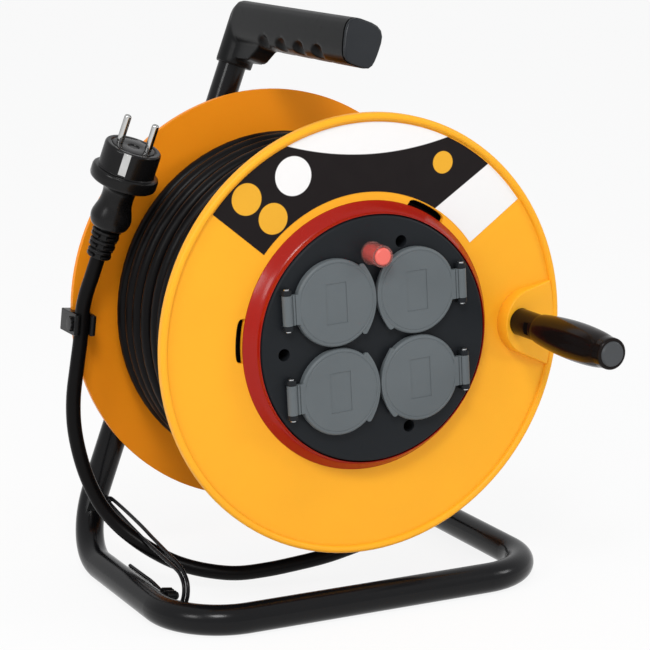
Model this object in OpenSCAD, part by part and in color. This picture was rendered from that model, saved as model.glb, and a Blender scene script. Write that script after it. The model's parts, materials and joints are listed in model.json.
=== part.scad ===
// Extension cord reel: a drum with four covered sockets turns on a bent tube stand,
// with a crank on the front flange, its cord wound on the drum and the plug on a free end.
// Millimetres, +Z up, the socket side faces -Y and the floor is Z = 0.
// Most parts are drawn in drum coordinates: the drum's axis is Y at X = Z = 0, and the
// front rim lies in the plane Y = 0. at_hub() moves them to their place above the floor.

/* [Drum] */
// Height of the drum's axis above the floor
hub_height = 185; // [175:1:215]
// Outer radius of both flanges
flange_r = 145; // [136:1:152]
// Length of the drum from rim to rim
drum_length = 160; // [150:1:185]
// Thickness of the flange webs
web_t = 3; // [2.5:0.5:4]
// Depth of the rounded rims
rim_d = 6; // [5:0.5:8]
// Radial width of the rounded rims
rim_w = 5; // [4:0.5:7]
// Outer radius of the barrel that carries the winding
barrel_r = 82.5; // [82:0.5:85]
// Wall of the barrel
barrel_wall = 2.5; // [2:0.25:3]
// Wall between the socket cup and the inside of the drum
diaphragm_t = 3; // [2:0.5:5]
// Plane where the two drum halves meet, from the front rim
split_y = 80; // [72:1:90]
// Radius of the circle of screws that join the drum halves
drum_screw_pitch_r = 66; // [60:1:68]
// Radius of the drum screws
drum_screw_r = 2; // [1.5:0.25:2.5]
// Width of the arc slots in the front flange
slot_w = 6; // [4:0.5:8]
// Sweep of each arc slot
slot_sweep = 17; // [10:1:24]
// Number of ribs behind the rear web
rib_count = 6; // [4:1:8]
// Thickness of those ribs
rib_t = 2.5; // [2:0.5:4]
// Depth of those ribs
rib_depth = 20; // [10:1:30]

/* [Axle] */
// Radius of the spindle where the drum turns
spindle_r = 8; // [6:0.5:10]
// Radius of the spindle's threaded ends
thread_r = 5; // [4:0.5:5.5]
// Length of the bearing in the rear flange
bearing_length = 69; // [50:1:75]
// Wall of the bearing tube
bearing_wall = 9; // [6:0.5:12]
// Radial running clearance of the bearing
running_clear = 0.08; // [0.03:0.01:0.1]
// Thickness of the thrust washer
thrust_t = 4; // [2:0.5:6]
// Thickness of the axle nuts
axle_nut_t = 6.5; // [5:0.5:8]
// Thickness of the axle washers
axle_washer_t = 2; // [1.5:0.5:3]

/* [Stand] */
// Outer radius of the stand's tube
tube_r = 10; // [8:0.5:11]
// Wall of the stand's tube
tube_wall = 1.5; // [1:0.25:2.5]
// Distance from the drum's centre plane to each side tube's centre
foot_x = 134; // [125:1:150]
// How far the front tube's centre stands ahead of the front rim
foot_ahead = 5; // [0:1:25]
// Gap between the rear rim and the legs
stand_gap = 15; // [14:1:25]
// Bend radius of the foot loop
bend_r = 45; // [35:1:50]
// Bend radius at the top of the leg
top_bend_r = 30; // [26:1:32]
// Height of the handle bar above the drum's axis
handle_rise = 188.5; // [180:1:210]
// Radius of the axle plate that is welded to the brace
plate_r = 24; // [20:1:28]
// Thickness of the axle plate
plate_t = 5; // [4:0.5:7]

/* [Carrying grip] */
// Distance from the front rim back to the grip's front end
grip_setback = 8; // [2:1:20]
// Thickness of the grip's end cap
grip_cap_t = 5; // [4:0.5:8]
// Length of the neck below the handle bar
neck_length = 48; // [40:1:60]
// Wall of the neck round the tube
neck_wall = 2.8; // [2.5:0.1:4]
// Pitch of the finger grooves
finger_pitch = 28; // [24:1:30]
// Depth of the finger grooves
finger_depth = 4.5; // [2:0.5:5]

/* [Cord] */
// Diameter of the cord
cord_d = 10; // [8:0.5:10.5]
// Turns of the outer layer on the drum
outer_turns = 13; // [8:1:13]
// Height of the outer layer's centreline above the barrel
wind_rise = 22.5; // [19:0.5:28]
// Diameter of the wire cord guide
guide_d = 4; // [3:0.5:4]
// Number of ridges along the plug's strain relief
relief_ribs = 6; // [4:1:8]

/* [Cord clip] */
// How far the clip's lip stands out past the rim
clip_out = 8; // [6:0.5:12]
// Height of the clip
clip_h = 19; // [12:1:24]
// Thickness of the clip's jaws
jaw_t = 2.7; // [2:0.1:3.5]
// Lean of the clip's channel
clip_lean = 6; // [0:1:12]

/* [Socket housing] */
// Turn of the socket group about the drum's axis
panel_turn = 3.2; // [0:0.1:10]
// How far the red ring laps the flange outside the barrel
ring_lap = 4.7; // [3:0.1:6]
// Radial step from the barrel in to the dark panel
panel_inset = 1.1; // [0.6:0.1:2.4]
// Thickness of the dark panel
panel_t = 6; // [5:0.25:7]
// How far the panel's face stands ahead of the front rim
panel_ahead = 9; // [7:0.5:12]
// Wall of the red cup
cup_wall = 2.8; // [2:0.2:4]
// Depth of the red cup's floor behind the front rim
cup_depth = 41; // [38:1:48]
// Radius of the circle of the panel's screws
panel_screw_pitch_r = 65.2; // [63:0.2:67]
// Radius of the panel screws
panel_screw_r = 1.85; // [1.5:0.05:2]

/* [Sockets] */
// Distance of each socket's centre from the panel's two centre lines
socket_pitch = 29.1; // [28.8:0.1:30]
// Radius of the socket's well
well_r = 19.5; // [19:0.1:20]
// Depth of the socket's well
well_depth = 17.5; // [17:0.1:18]
// Radius of the socket insert's body
insert_r = 22.5; // [22:0.1:23]
// Radius of the raised collar round the well
collar_r = 24.8; // [24:0.1:25.4]
// Height of the raised collar
collar_h = 2.5; // [1.5:0.1:2.8]
// Spacing of a plug's pins
pin_pitch = 19; // [18:0.1:20]
// Radius of a plug's pins
pin_r = 2.4; // [2.3:0.05:2.45]
// Thickness of the brass rails
rail_t = 1.5; // [1:0.1:1.5]

/* [Lids] */
// Radius of a lid
lid_r = 28.3; // [27.6:0.1:28.5]
// Distance from the panel's face to a lid's face
lid_h = 5.5; // [5.2:0.1:7]
// Thickness of a lid's face and skirt
lid_t = 2.2; // [1.5:0.1:2.4]
// Distance of the hinge pins from the panel's centre line
hinge_x = 63; // [62.5:0.1:64]
// Radius of a lid's hinge barrel
hinge_r = 3.2; // [3:0.1:3.6]
// Length of a lid's hinge barrel
hinge_len = 19.4; // [14:0.2:22]
// Radius of the hinge pins
hinge_pin_r = 1.2; // [1:0.05:1.4]
// Thickness of the panel's lugs
lug_t = 3; // [2:0.25:3.5]

/* [Reset button] */
// Height of the button above the panel's centre
button_z = 57; // [56:0.5:59]
// Radius of the clear sleeve
sleeve_r = 7; // [6.6:0.1:7.2]
// Wall of the clear sleeve
sleeve_wall = 1.1; // [0.8:0.1:1.4]
// How far the button stands out of the panel
button_out = 17; // [12:0.5:19]
// Travel of the button
button_travel = 2; // [1:0.25:3]

/* [Crank] */
// Distance of the crank's axis in from the flange's edge
crank_inset = 33; // [28:0.5:38]
// Radius of the crank's bolt
crank_bolt_r = 4; // [3:0.25:4.5]
// Radius of the fixed sleeve at the crank's foot
crank_sleeve_r = 9; // [8:0.25:9.5]
// Length of the fixed sleeve
crank_sleeve_len = 30; // [20:1:36]
// Largest radius of the grip
crank_grip_r = 12.8; // [11.5:0.1:14]
// Length of the grip
crank_grip_len = 82; // [70:1:95]
// Radius of the round pad under the crank
pad_r = 18; // [14:0.5:22]
// Height of the pad above the web
pad_h = 4; // [3:0.5:8]

/* [Plug] */
// Radius of the plug's front body
plug_r = 19; // [18:0.1:19.3]
// Radius of the plug's skirt
plug_skirt_r = 22.5; // [20:0.1:24]
// Length of the plug from strain relief to face
plug_len = 81; // [78:1:95]
// Length of the plug's pins
pin_len = 19; // [18.5:0.1:19.5]

/* [Hidden] */
$fn = 64;
bend_fn = 40;

// Clearance between pieces that move past each other
gap = 0.3;
// Clearance of a piece that is seated in another
seat = 0.05;
// Small overrun that makes cuts clean
over = 1;

// Drum
barrel_ri = barrel_r - barrel_wall;
web_y = rim_d - web_t;
rear_web_y = drum_length - rim_d;
cord_r = cord_d / 2;

// Stand
stand_y = drum_length + stand_gap + tube_r;
foot_z = tube_r - hub_height;
foot_y = -foot_ahead;
lean = atan(foot_x / (handle_rise - foot_z));
leg_len = norm([foot_x, handle_rise - foot_z]);
brace_lean = atan(-foot_x / foot_z);
brace_len = 2 * foot_x * cos(lean) / sin(lean + brace_lean);
leg_step = 0.15;
leg_r = tube_r - leg_step;
stub_len = 3;
weld = 0.4;
plate_y = stand_y - tube_r - plate_t + weld;

// Axle
boss_rear_y = plate_y - thrust_t - gap;
boss_front_y = boss_rear_y - bearing_length;
shoulder_y = boss_front_y - gap;
axle_end = 1;
rear_reach = stand_y + tube_r + axle_washer_t + axle_nut_t + axle_end;

// Crank
crank_x = flange_r - crank_inset;
pad_y = web_y - pad_h;
crank_sleeve_y = pad_y - crank_sleeve_len;
crank_grip_y = crank_sleeve_y - gap;
crank_front_y = crank_grip_y - crank_grip_len;
crank_cap_proud = 1.5;
crank_recess_y = crank_front_y + 13;
front_reach = crank_cap_proud - crank_front_y;

// Place of the drum's axis: the object stands centred on the origin
hub_x = clip_out / 2;
hub_y = (front_reach - rear_reach) / 2;

// Socket group
ring_r = barrel_r + ring_lap;
panel_r = barrel_r - panel_inset;
panel_y = -panel_ahead;
panel_rear_y = panel_y + panel_t;
panel_clear = 0.2;
cup_ro = barrel_ri - 1;
cup_ri = cup_ro - cup_wall;
cup_floor_y = cup_depth - diaphragm_t;
collar_y = panel_y - collar_h;
well_y = collar_y + well_depth;
well_floor_t = 3;
insert_rear_y = 24;
lid_y = panel_y - lid_h;
lid_foot_y = panel_y - 0.4;
hinge_y = panel_y - hinge_r - 0.4;
lug_gap = 0.3;
button_y = panel_y - button_out;
button_r = sleeve_r - sleeve_wall - gap;
screw_well_y = 12;
screw_head_y = 9;
screw_hole_r = 2 * panel_screw_r + gap;
screw_boss_r = screw_hole_r + 1.5;
sockets = [[-1, 1], [1, 1], [-1, -1], [1, -1]];
panel_screw_angles = [180, 70.5, -70.5];

// Winding
rings_per_loop = 24;
wind_r = barrel_r + wind_rise;
wind_side = 0.5;
wind_front_y = rim_d + cord_r + wind_side;
wind_rear_y = rear_web_y - cord_r - wind_side;
wind_pitch = (wind_rear_y - wind_front_y) / outer_turns;
layer_step = cord_d * sqrt(3) / 2;
climb_sweep = 60;
chord_dip = cos(180 / rings_per_loop);
core_r = wind_r * chord_dip - cord_r - gap;
notch_r = (wind_r - layer_step) * chord_dip - cord_r - gap;

// Free cord: centreline from the winding to the plug, above the floor's centre
cord_route = [
    [79, -34, 97], [71, -33, 79], [62, -28, 62], [50, -19, 48], [35, -10, 38], [18, -1, 30],
    [0, 7, 23], [-19, 15, 18], [-38, 23, 14], [-57, 31, 12], [-75, 40, 14], [-90, 50, 18],
    [-102, 60, 24], [-113, 70, 32], [-123, 79, 42], [-132, 86, 55], [-139, 91, 72],
    [-144, 94, 91], [-147, 95, 111], [-147, 95, 131], [-144, 95, 152], [-141, 95, 171],
    [-139, 95, 190], [-136.9, 92.8, 202.2], [-134.1, 88.8, 214.5], [-131.1, 84.8, 227.5]];
cord_sides = 10;

// Guide wire: centreline in drum coordinates, from the leg to the side tube
leg_clamp_z = foot_z + 49;
leg_clamp_x = -foot_x * (handle_rise - leg_clamp_z) / (handle_rise - foot_z);
guide_clamp_turn = 40;
side_wire_at = [-foot_x, foot_z] + (tube_r + 2.2) * [cos(guide_clamp_turn), sin(guide_clamp_turn)];

function near_leg(dx, dy, dz) = [leg_clamp_x + dx, stand_y + dy, leg_clamp_z + dz];
function near_side(dx, y, dz) = [side_wire_at[0] + dx, y, side_wire_at[1] + dz];

guide_route = [
    near_leg(0, -13, 0), near_leg(0, -21, 0), near_leg(-0.2, -28, -2), near_leg(-0.5, -38, -6.5),
    near_leg(-0.8, -51, -11.5), near_leg(-1, -70, -16), near_side(7.7, 90, 22.1),
    near_side(7.7, 60, 18.1), near_side(7.2, 42, 14.1), near_side(6.7, 33, 11.6),
    near_side(6.2, 28, 8.1), near_side(5.2, 26.5, 4.6), near_side(3.2, 28, 1.8),
    near_side(0.7, 34, 0.3), near_side(0, 41, 0), near_side(0, 48, 0), near_side(0, 54, 0)];
guide_start = guide_route[0];
guide_stop = guide_route[len(guide_route) - 1];

// Leads in the red cup: centrelines in panel coordinates
lead_d = 3;
terminal_z = 6.2 - cup_ri;
terminal_h = 20;
lead_z = terminal_z + terminal_h;
lead_y = cup_floor_y - lead_d;
lead_routes = [
    [[-9, lead_y, lead_z], [-9, lead_y, 0], [-5, lead_y, 42], [-3, lead_y - 0.5, 54],
        [-3, lead_y - 1.5, 57]],
    [[3, lead_y - 1.5, 57], [4, lead_y - 0.5, 53], [12, lead_y, 42], [18, lead_y - 1, 35],
        [19.6, lead_y - 4, 33], [19.6, insert_rear_y + rail_t + 0.1, 32]],
    [[9, lead_y, lead_z], [12, lead_y, -45], [24, lead_y, -37], [35, lead_y - 1, -33],
        [38.6, lead_y - 3, -32], [38.6, insert_rear_y + 2 * rail_t + 1.6, -31]],
    [[0, lead_y, lead_z], [0, lead_y, -8], [0, lead_y - 1, -3],
        [0, insert_rear_y + 3 * rail_t + 3.1, 0]]];

// ---------------------------------------------------------------- helpers

module at_hub() {
    translate([hub_x, hub_y, hub_height]) children();
}

module in_panel() {
    at_hub() rotate([0, -panel_turn, 0]) children();
}

// A flat shape in the front view (X right, Z up), between two depths
module slab(y0, y1) {
    translate([0, y1, 0]) rotate([90, 0, 0]) linear_extrude(y1 - y0) children();
}

// A profile of [radius, depth] points turned about the Y axis
module turned(profile, sweep = 360) {
    rotate([90, 0, 0]) mirror([0, 0, 1]) rotate_extrude(angle = sweep) polygon(profile);
}

// A round bar along Y between two depths, at a place in the front view
module bar(r, y0, y1, at = [0, 0]) {
    translate([at[0], y1, at[1]]) rotate([90, 0, 0]) cylinder(r = r, h = y1 - y0);
}

// A block by its low and high corners
module block(low, high) {
    translate(low) cube(high - low);
}

function ring(r0, r1, y0, y1) = [[r0, y0], [r1, y0], [r1, y1], [r0, y1]];

function unit(v) = v / norm(v);

// Directions of a path at each of its points: along its first and last runs at the ends
function tangents(path) = [for (i = [0:len(path) - 1])
    unit(path[min(i + 1, len(path) - 1)] - path[max(i - 1, 0)])];

function square_to(n, t) = unit(n - (n * t) * t);

// Side directions along a path, each turned as little as can be from the one before
function carried_sides(ts, n0) = [for (
    i = 0, n = square_to(n0, ts[0]);
    i < len(ts);
    i = i + 1, n = square_to(n, ts[min(i, len(ts) - 1)])) n];

// One unbroken tube along a path
module tube(path, r, sides, ups) {
    ts = tangents(path);
    points = [for (i = [0:len(path) - 1], k = [0:sides - 1])
        path[i] + r * (cos(360 * k / sides) * ups[i] + sin(360 * k / sides) * cross(ts[i], ups[i]))];
    last = len(path) - 1;
    walls = [for (i = [0:last - 1], k = [0:sides - 1], half = [0, 1])
        half == 0
            ? [i * sides + k, (i + 1) * sides + k, (i + 1) * sides + (k + 1) % sides]
            : [i * sides + k, (i + 1) * sides + (k + 1) % sides, i * sides + (k + 1) % sides]];
    start = [for (k = [1:sides - 2]) [0, k, k + 1]];
    end = [for (k = [1:sides - 2]) [last * sides, last * sides + k + 1, last * sides + k]];
    polyhedron(points, concat(start, walls, end));
}

module free_tube(path, r, sides) {
    tube(path, r, sides, carried_sides(tangents(path), [1, 0, 0]));
}

// ---------------------------------------------------------------- stand

// A tube's ring; the leg and the brace are stepped in, inside the walls they are welded to
module tube_section(step = 0) {
    difference() {
        circle(tube_r - step, $fn = bend_fn);
        circle(tube_r - tube_wall + step, $fn = bend_fn);
    }
}

module tube_run(length, step = 0) {
    linear_extrude(length) tube_section(step);
}

// A quarter bend whose legs leave its corner along -X and -Y
module elbow(r, step = 0) {
    translate([-r, -r, 0]) rotate_extrude(angle = 90, $fn = bend_fn) translate([r, 0])
        tube_section(step);
}

// The line of the left leg from its foot corner, up along +Z
module on_leg() {
    translate([-foot_x, stand_y, foot_z]) rotate([0, lean, 0]) children();
}

module on_brace() {
    translate([foot_x, stand_y, foot_z]) rotate([0, -brace_lean, 0]) children();
}

module foot_loop() {
    side_len = stand_y - foot_y - 2 * bend_r;
    for (side = [-1, 1])
        translate([side * foot_x, foot_y + bend_r, foot_z]) rotate([-90, 0, 0]) tube_run(side_len);
    translate([bend_r - foot_x, foot_y, foot_z]) rotate([0, 90, 0])
        tube_run(2 * (foot_x - bend_r));
    translate([-foot_x, foot_y, foot_z]) rotate([0, 0, 180]) elbow(bend_r);
    translate([foot_x, foot_y, foot_z]) rotate([0, 0, -90]) elbow(bend_r);
}

// A bend at the foot with a stub that reaches into the loop's side tube
module foot_bend(step) {
    rotate([0, 90, 0]) elbow(bend_r, step);
    translate([0, -bend_r, 0]) rotate([90, 0, 0]) tube_run(stub_len, step);
}

module left_leg() {
    bar_end = grip_setback + grip_cap_t + 2;
    on_leg() {
        foot_bend(leg_step);
        translate([0, 0, bend_r]) tube_run(leg_len - bend_r - top_bend_r, leg_step);
        translate([0, 0, leg_len]) rotate([0, -90, 0]) elbow(top_bend_r, leg_step);
        translate([0, -top_bend_r, leg_len]) rotate([90, 0, 0])
            tube_run(stand_y - top_bend_r - bar_end, leg_step);
    }
}

module brace() {
    difference() {
        on_brace() {
            foot_bend(2 * leg_step);
            translate([0, 0, bend_r]) tube_run(brace_len - bend_r, 2 * leg_step);
        }
        on_leg() translate([0, 0, bend_r]) cylinder(r = tube_r - leg_step, h = leg_len - bend_r);
    }
}

module stand_frame() {
    color("#1a1a1a") at_hub() difference() {
        union() {
            foot_loop();
            left_leg();
            brace();
            bar(plate_r, plate_y, plate_y + plate_t);
        }
        bar(thread_r + seat, plate_y - over, rear_reach);
    }
}

// ---------------------------------------------------------------- carrying grip

grip_front = grip_setback + grip_cap_t - stand_y;
grip_rear = tube_r + neck_wall;
bore_r = leg_r + seat;
grip_top = 14.2;
grip_bottom = 18;
finger_r = 12;
grip_screw_r = 1.5;
// Side and height of the two screws behind the grip's left shell
grip_screw_at = [[-19, -29], [grip_front + 8, -14.2]];

// Half outline of the grip's section: [half width, height]
grip_half = [[4.5, grip_top], [9.5, 12.6], [12.8, 9], [13.8, 4], [13.2, 0], [12.6, -6],
    [11.6, -12], [9.6, -16], [5.5, -grip_bottom]];

// The top corner of the leg, Z along the leg
module on_handle() {
    at_hub() translate([0, stand_y, handle_rise]) rotate([0, lean, 0]) children();
}

module grip_section() {
    polygon(concat(grip_half, [for (i = [len(grip_half) - 1:-1:0]) [-grip_half[i][0], grip_half[i][1]]]));
}

module grip_bores() {
    bar(bore_r, grip_front - over, -top_bend_r);
    translate([0, -top_bend_r, -top_bend_r]) rotate([0, -90, 0]) rotate_extrude(angle = 90)
        translate([top_bend_r, 0]) circle(bore_r);
    translate([0, 0, -neck_length - over]) cylinder(r = bore_r, h = neck_length + over - top_bend_r);
}

module gusset() {
    translate([-8, 0, 0]) rotate([90, 0, 90]) linear_extrude(16) polygon([
        [-8, -12], [-44, -12], [-40, -20], [-30, -29.5], [-21.5, -32.6], [-14, 1 - neck_length],
        [-8, 1 - neck_length]]);
}

module grip_solid() {
    corner = grip_rear + over;
    difference() {
        union() {
            slab(grip_front, grip_rear) grip_section();
            translate([0, 0, -neck_length]) cylinder(r = tube_r + neck_wall, h = neck_length);
            gusset();
        }
        for (i = [0:3])
            translate([-30, -46 - i * finger_pitch, -grip_bottom - finger_r + finger_depth])
                rotate([0, 90, 0]) cylinder(r = finger_r, h = 60);
        translate([-30, corner, grip_top + over]) rotate([45, 0, 0]) cube([60, 12, 12], center = false);
        grip_bores();
    }
}

module grip_half_space(side) {
    block([side > 0 ? seat : -40, grip_front - over, -neck_length - over],
        [side > 0 ? 40 : 0, grip_rear + over, grip_top + over]);
}

module grip_shell_left() {
    color("#161616") on_handle() difference() {
        intersection() {
            grip_solid();
            grip_half_space(-1);
        }
        for (p = grip_screw_at)
            translate([-7, p[0], p[1]]) rotate([0, 90, 0]) cylinder(r = grip_screw_r + seat, h = 8);
    }
}

module grip_shell_right() {
    color("#1c1c1c") on_handle() difference() {
        intersection() {
            grip_solid();
            grip_half_space(1);
        }
        for (p = grip_screw_at) translate([0, p[0], p[1]]) rotate([0, 90, 0]) {
            cylinder(r = grip_screw_r + seat, h = 20);
            translate([0, 0, 5]) cylinder(r = 2 * grip_screw_r + seat, h = 20);
        }
    }
}

module grip_screws() {
    color("#8a8a8a") on_handle() for (p = grip_screw_at) translate([0, p[0], p[1]]) rotate([0, 90, 0]) {
        translate([0, 0, -6]) cylinder(r = grip_screw_r, h = 11);
        translate([0, 0, 5]) cylinder(r = 2 * grip_screw_r, h = 2);
    }
}

module grip_end_cap() {
    color("#1f2022") on_handle() union() {
        slab(grip_front - grip_cap_t, grip_front) grip_section();
        bar(tube_r - tube_wall - seat, grip_front - seat, grip_front + 14);
    }
}

// ---------------------------------------------------------------- axle

module axle_spindle() {
    color("#b9bcc0") at_hub() union() {
        bar(spindle_r, shoulder_y, plate_y);
        bar(thread_r, plate_y - over, rear_reach);
        bar(thread_r, shoulder_y - axle_washer_t - axle_nut_t - axle_end, shoulder_y + over);
    }
}

module axle_washers() {
    washer_r = 2.4 * thread_r;
    color("#c4c6c8") at_hub() {
        turned(ring(thread_r + seat, washer_r, stand_y + tube_r, stand_y + tube_r + axle_washer_t));
        turned(ring(thread_r + seat, washer_r + 2, shoulder_y - axle_washer_t, shoulder_y));
    }
}

module hex_nut(r, y0, y1, across) {
    slab(y0, y1) difference() {
        circle(d = across / cos(30), $fn = 6);
        circle(r);
    }
}

module axle_nuts() {
    rear = stand_y + tube_r + axle_washer_t;
    front = shoulder_y - axle_washer_t;
    color("#a8abae") at_hub() {
        hex_nut(thread_r + seat, rear, rear + axle_nut_t, 3.4 * thread_r);
        hex_nut(thread_r + seat, front - axle_nut_t, front, 3.4 * thread_r);
    }
}

module thrust_washer() {
    color("#e8e4d8") at_hub()
        turned(ring(spindle_r + seat, spindle_r + bearing_wall, plate_y - thrust_t, plate_y));
}

// ---------------------------------------------------------------- wire guide

module guide_wire() {
    color("#141414") at_hub() free_tube(guide_route, guide_d / 2, 8);
}

side_clamp_y = [41, 54];
side_screw_y = [side_clamp_y[0] + 3, side_clamp_y[1] - 3];
leg_clamp_front = stand_y - 19;
leg_screw_at = [leg_clamp_x - 3, leg_clamp_z + 5.5];

module on_side_tube() {
    translate([-foot_x, 0, foot_z]) rotate([0, -guide_clamp_turn, 0]) children();
}

module guide_clamps() {
    wire = guide_d / 2 + seat;
    color("#202020") at_hub() {
        difference() {
            block([leg_clamp_x - 9, leg_clamp_front, leg_clamp_z - 5],
                [leg_clamp_x + 5, leg_clamp_front + 12, leg_clamp_z + 9]);
            on_leg() translate([0, 0, 30]) cylinder(r = leg_r + seat, h = 60);
            on_leg() translate([0, 0, 30]) tube_cut();
            bar(wire, leg_clamp_front - over, guide_start[1] + seat, [guide_start[0], guide_start[2]]);
            bar(1.45, leg_clamp_front - over, leg_clamp_front + 12, leg_screw_at);
        }
        difference() {
            on_side_tube() block([tube_r - 1, side_clamp_y[0], -4], [tube_r + 5, side_clamp_y[1], 11]);
            on_side_tube() translate([0, side_clamp_y[0] - over, 0]) rotate([-90, 0, 0])
                cylinder(r = tube_r + seat, h = 30);
            bar(wire, side_clamp_y[0] - over, guide_stop[1] + over, [guide_stop[0], guide_stop[2]]);
            on_side_tube() for (y = side_screw_y) translate([0, y, 7.5]) rotate([0, 90, 0])
                cylinder(r = 1.45, h = 20);
        }
    }
}

module tube_cut() {
    translate([-tube_r - 8, 0, 0]) cube([2 * tube_r + 16, 20, 60]);
}

module guide_screws() {
    color("#9a9c9e") at_hub() {
        bar(1.4, leg_clamp_front - over, leg_clamp_front + 9.4, leg_screw_at);
        bar(2.5, leg_clamp_front - 1.6, leg_clamp_front, leg_screw_at);
        on_side_tube() for (y = side_screw_y) translate([0, y, 7.5]) rotate([0, 90, 0]) {
            translate([0, 0, tube_r - 1.8]) cylinder(r = 1.4, h = 7);
            translate([0, 0, tube_r + 5]) cylinder(r = 2.5, h = 1.6);
        }
    }
}

// ---------------------------------------------------------------- drum

rim_mid = flange_r - rim_w / 2;

// Web and rounded rim: [radius, depth from the rim's own plane]
function flange_profile(r0) = concat(
    [[r0, web_y], [rim_mid - rim_w / 2, web_y]],
    [for (a = [180:22.5:360]) [rim_mid + rim_w / 2 * cos(a), rim_w / 2 * (1 + sin(a))]],
    [[flange_r, rim_d], [r0, rim_d]]);

function flipped(profile) = [for (p = profile) [p[0], drum_length - p[1]]];

module crank_pad() {
    edge = pad_r * 1.75;
    reach = flange_r - rim_w;
    slab(pad_y, web_y + over) difference() {
        intersection() {
            circle(reach);
            union() {
                translate([crank_x, 0]) circle(pad_r);
                polygon([[crank_x - pad_r * sin(24), pad_r * cos(24)], [reach, edge], [reach + 9, 0],
                    [reach, -edge], [crank_x - pad_r * sin(24), -pad_r * cos(24)]]);
            }
        }
        circle(ring_r + gap);
    }
}

module arc_slots() {
    slot_r = ring_r + gap;
    for (a = [60, 180, 300]) rotate([0, -a + slot_sweep / 2, 0])
        turned(ring(slot_r, slot_r + slot_w, web_y - over, rim_d + over), slot_sweep);
}

function screw_circle(r, angles) = [for (a = angles) r * [cos(a), sin(a)]];

drum_screw_at = screw_circle(drum_screw_pitch_r, [45, 135, 225, 315]);
panel_screw_at = screw_circle(panel_screw_pitch_r, panel_screw_angles);
post_wall = 3;

// Where the cord's inner end passes the cup's floor and the barrel
inner_cord_z = 19.2 - cup_ri;
inner_bend_r = 17;
inner_start_y = cup_floor_y;
inner_bend_y = cup_depth + diaphragm_t + 0.5;
gland_y = inner_bend_y + inner_bend_r;

module gland_hole(r) {
    rotate([0, -panel_turn, 0]) translate([0, gland_y, -barrel_r - over])
        cylinder(r = r, h = barrel_wall + 2 * over);
}

module front_flange() {
    diaphragm = [cup_depth, cup_depth + diaphragm_t];
    color("orange") difference() {
        at_hub() difference() {
            union() {
                turned(flange_profile(barrel_ri));
                turned(ring(barrel_ri, barrel_r, rim_d - over, split_y));
                turned(ring(0, barrel_ri + over, diaphragm[0], diaphragm[1]));
                crank_pad();
                for (p = drum_screw_at)
                    bar(drum_screw_r + post_wall, diaphragm[1] - over, split_y, p);
                rotate([0, -panel_turn, 0]) for (p = panel_screw_at)
                    bar(panel_screw_r + post_wall, diaphragm[1] - over, diaphragm[1] + 18, p);
            }
            arc_slots();
            bar(crank_bolt_r + seat, pad_y - over, rim_d + over, [crank_x, 0]);
            translate([crank_x, rim_d, 0]) crank_sink(2 * seat);
            for (p = drum_screw_at) bar(drum_screw_r + seat, cup_depth + 8, split_y + over, p);
            gland_hole(7 + seat);
        }
        in_panel() {
            for (p = panel_screw_at) bar(panel_screw_r + seat, cup_depth - over, cup_depth + 25, p);
            bar(cord_r + gap, cup_depth - over, diaphragm[1] + over, [0, inner_cord_z]);
        }
    }
}

// The countersunk head of the crank's bolt, flush with the web's rear face
module crank_sink(clear) {
    sink = crank_bolt_r * 0.75;
    rotate([90, 0, 0]) translate([0, 0, -0.01])
        cylinder(r1 = crank_bolt_r + sink + clear, r2 = crank_bolt_r + clear, h = sink);
}

module rear_flange() {
    boss_r = spindle_r + bearing_wall;
    head_y = drum_length - 8;
    color("orange") at_hub() difference() {
        union() {
            turned(flipped(flange_profile(0)));
            turned(ring(barrel_ri, barrel_r, split_y + seat, rear_web_y + over));
            bar(boss_r, boss_front_y, boss_rear_y);
            for (i = [0:rib_count - 1]) rotate([0, i * 360 / rib_count, 0])
                block([boss_r - 2, rear_web_y - rib_depth, -rib_t / 2],
                    [barrel_ri + over, rear_web_y + over, rib_t / 2]);
            for (p = drum_screw_at)
                bar(2 * drum_screw_r + post_wall, split_y + seat, rear_web_y + over, p);
        }
        bar(spindle_r + running_clear, boss_front_y - over, boss_rear_y + over);
        for (p = drum_screw_at) {
            bar(drum_screw_r + gap, split_y - over, drum_length, p);
            bar(2 * drum_screw_r + gap, head_y, drum_length, p);
        }
    }
}

module drum_screws() {
    head_y = drum_length - 8;
    color("#a0a0a0") at_hub() for (p = drum_screw_at) {
        bar(drum_screw_r, cup_depth + 12, head_y + over, p);
        bar(2 * drum_screw_r, head_y, head_y + 3.5, p);
    }
}

module flange_label() {
    start = 36;
    finish = 141;
    reach = 2 * flange_r;
    color("#101010") at_hub() slab(web_y - 0.3, web_y) intersection() {
        difference() {
            circle(rim_mid - rim_w / 2 - 1);
            circle(ring_r + slot_w + 1);
        }
        polygon(concat([[0, 0]], [for (i = [0:3])
            reach * [cos(start + i * (finish - start) / 3), sin(start + i * (finish - start) / 3)]]));
    }
}

// ---------------------------------------------------------------- winding

function in_plane(r, a, y) = [r * cos(a), y, r * sin(a)];

// The lead leaves the outer layer in a straight line to the free cord's start
lead_end = cord_route[0] - [hub_x, hub_y, hub_height];
lead_reach = norm([lead_end[0], lead_end[2]]);
lead_angle = atan2(lead_end[2], lead_end[0]) + acos(wind_r / lead_reach);
lead_start = in_plane(wind_r, lead_angle, wind_front_y);
lead_run = lead_end - lead_start;
lead_steps = 3;

loop_count = outer_turns * rings_per_loop;
wind_sweep = outer_turns * 360;

// The inner end drops a layer into the core's notch
function layer_r(s) = wind_r - layer_step * min(1, max(0, (s - wind_sweep + climb_sweep) / climb_sweep));

loops = [for (i = [1:loop_count])
    let (s = i * 360 / rings_per_loop)
    in_plane(layer_r(s), lead_angle + s, wind_front_y + wind_pitch * s / 360)];
inner_end = loops[loop_count - 1];
inner_dir = [-sin(lead_angle), 0, cos(lead_angle)];
lead = [for (i = [lead_steps:-1:0]) lead_start + lead_run * i / lead_steps
    * (1 - gap / norm(lead_run))];
winding_path = concat(lead, loops, [inner_end + cord_d * inner_dir]);

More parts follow.
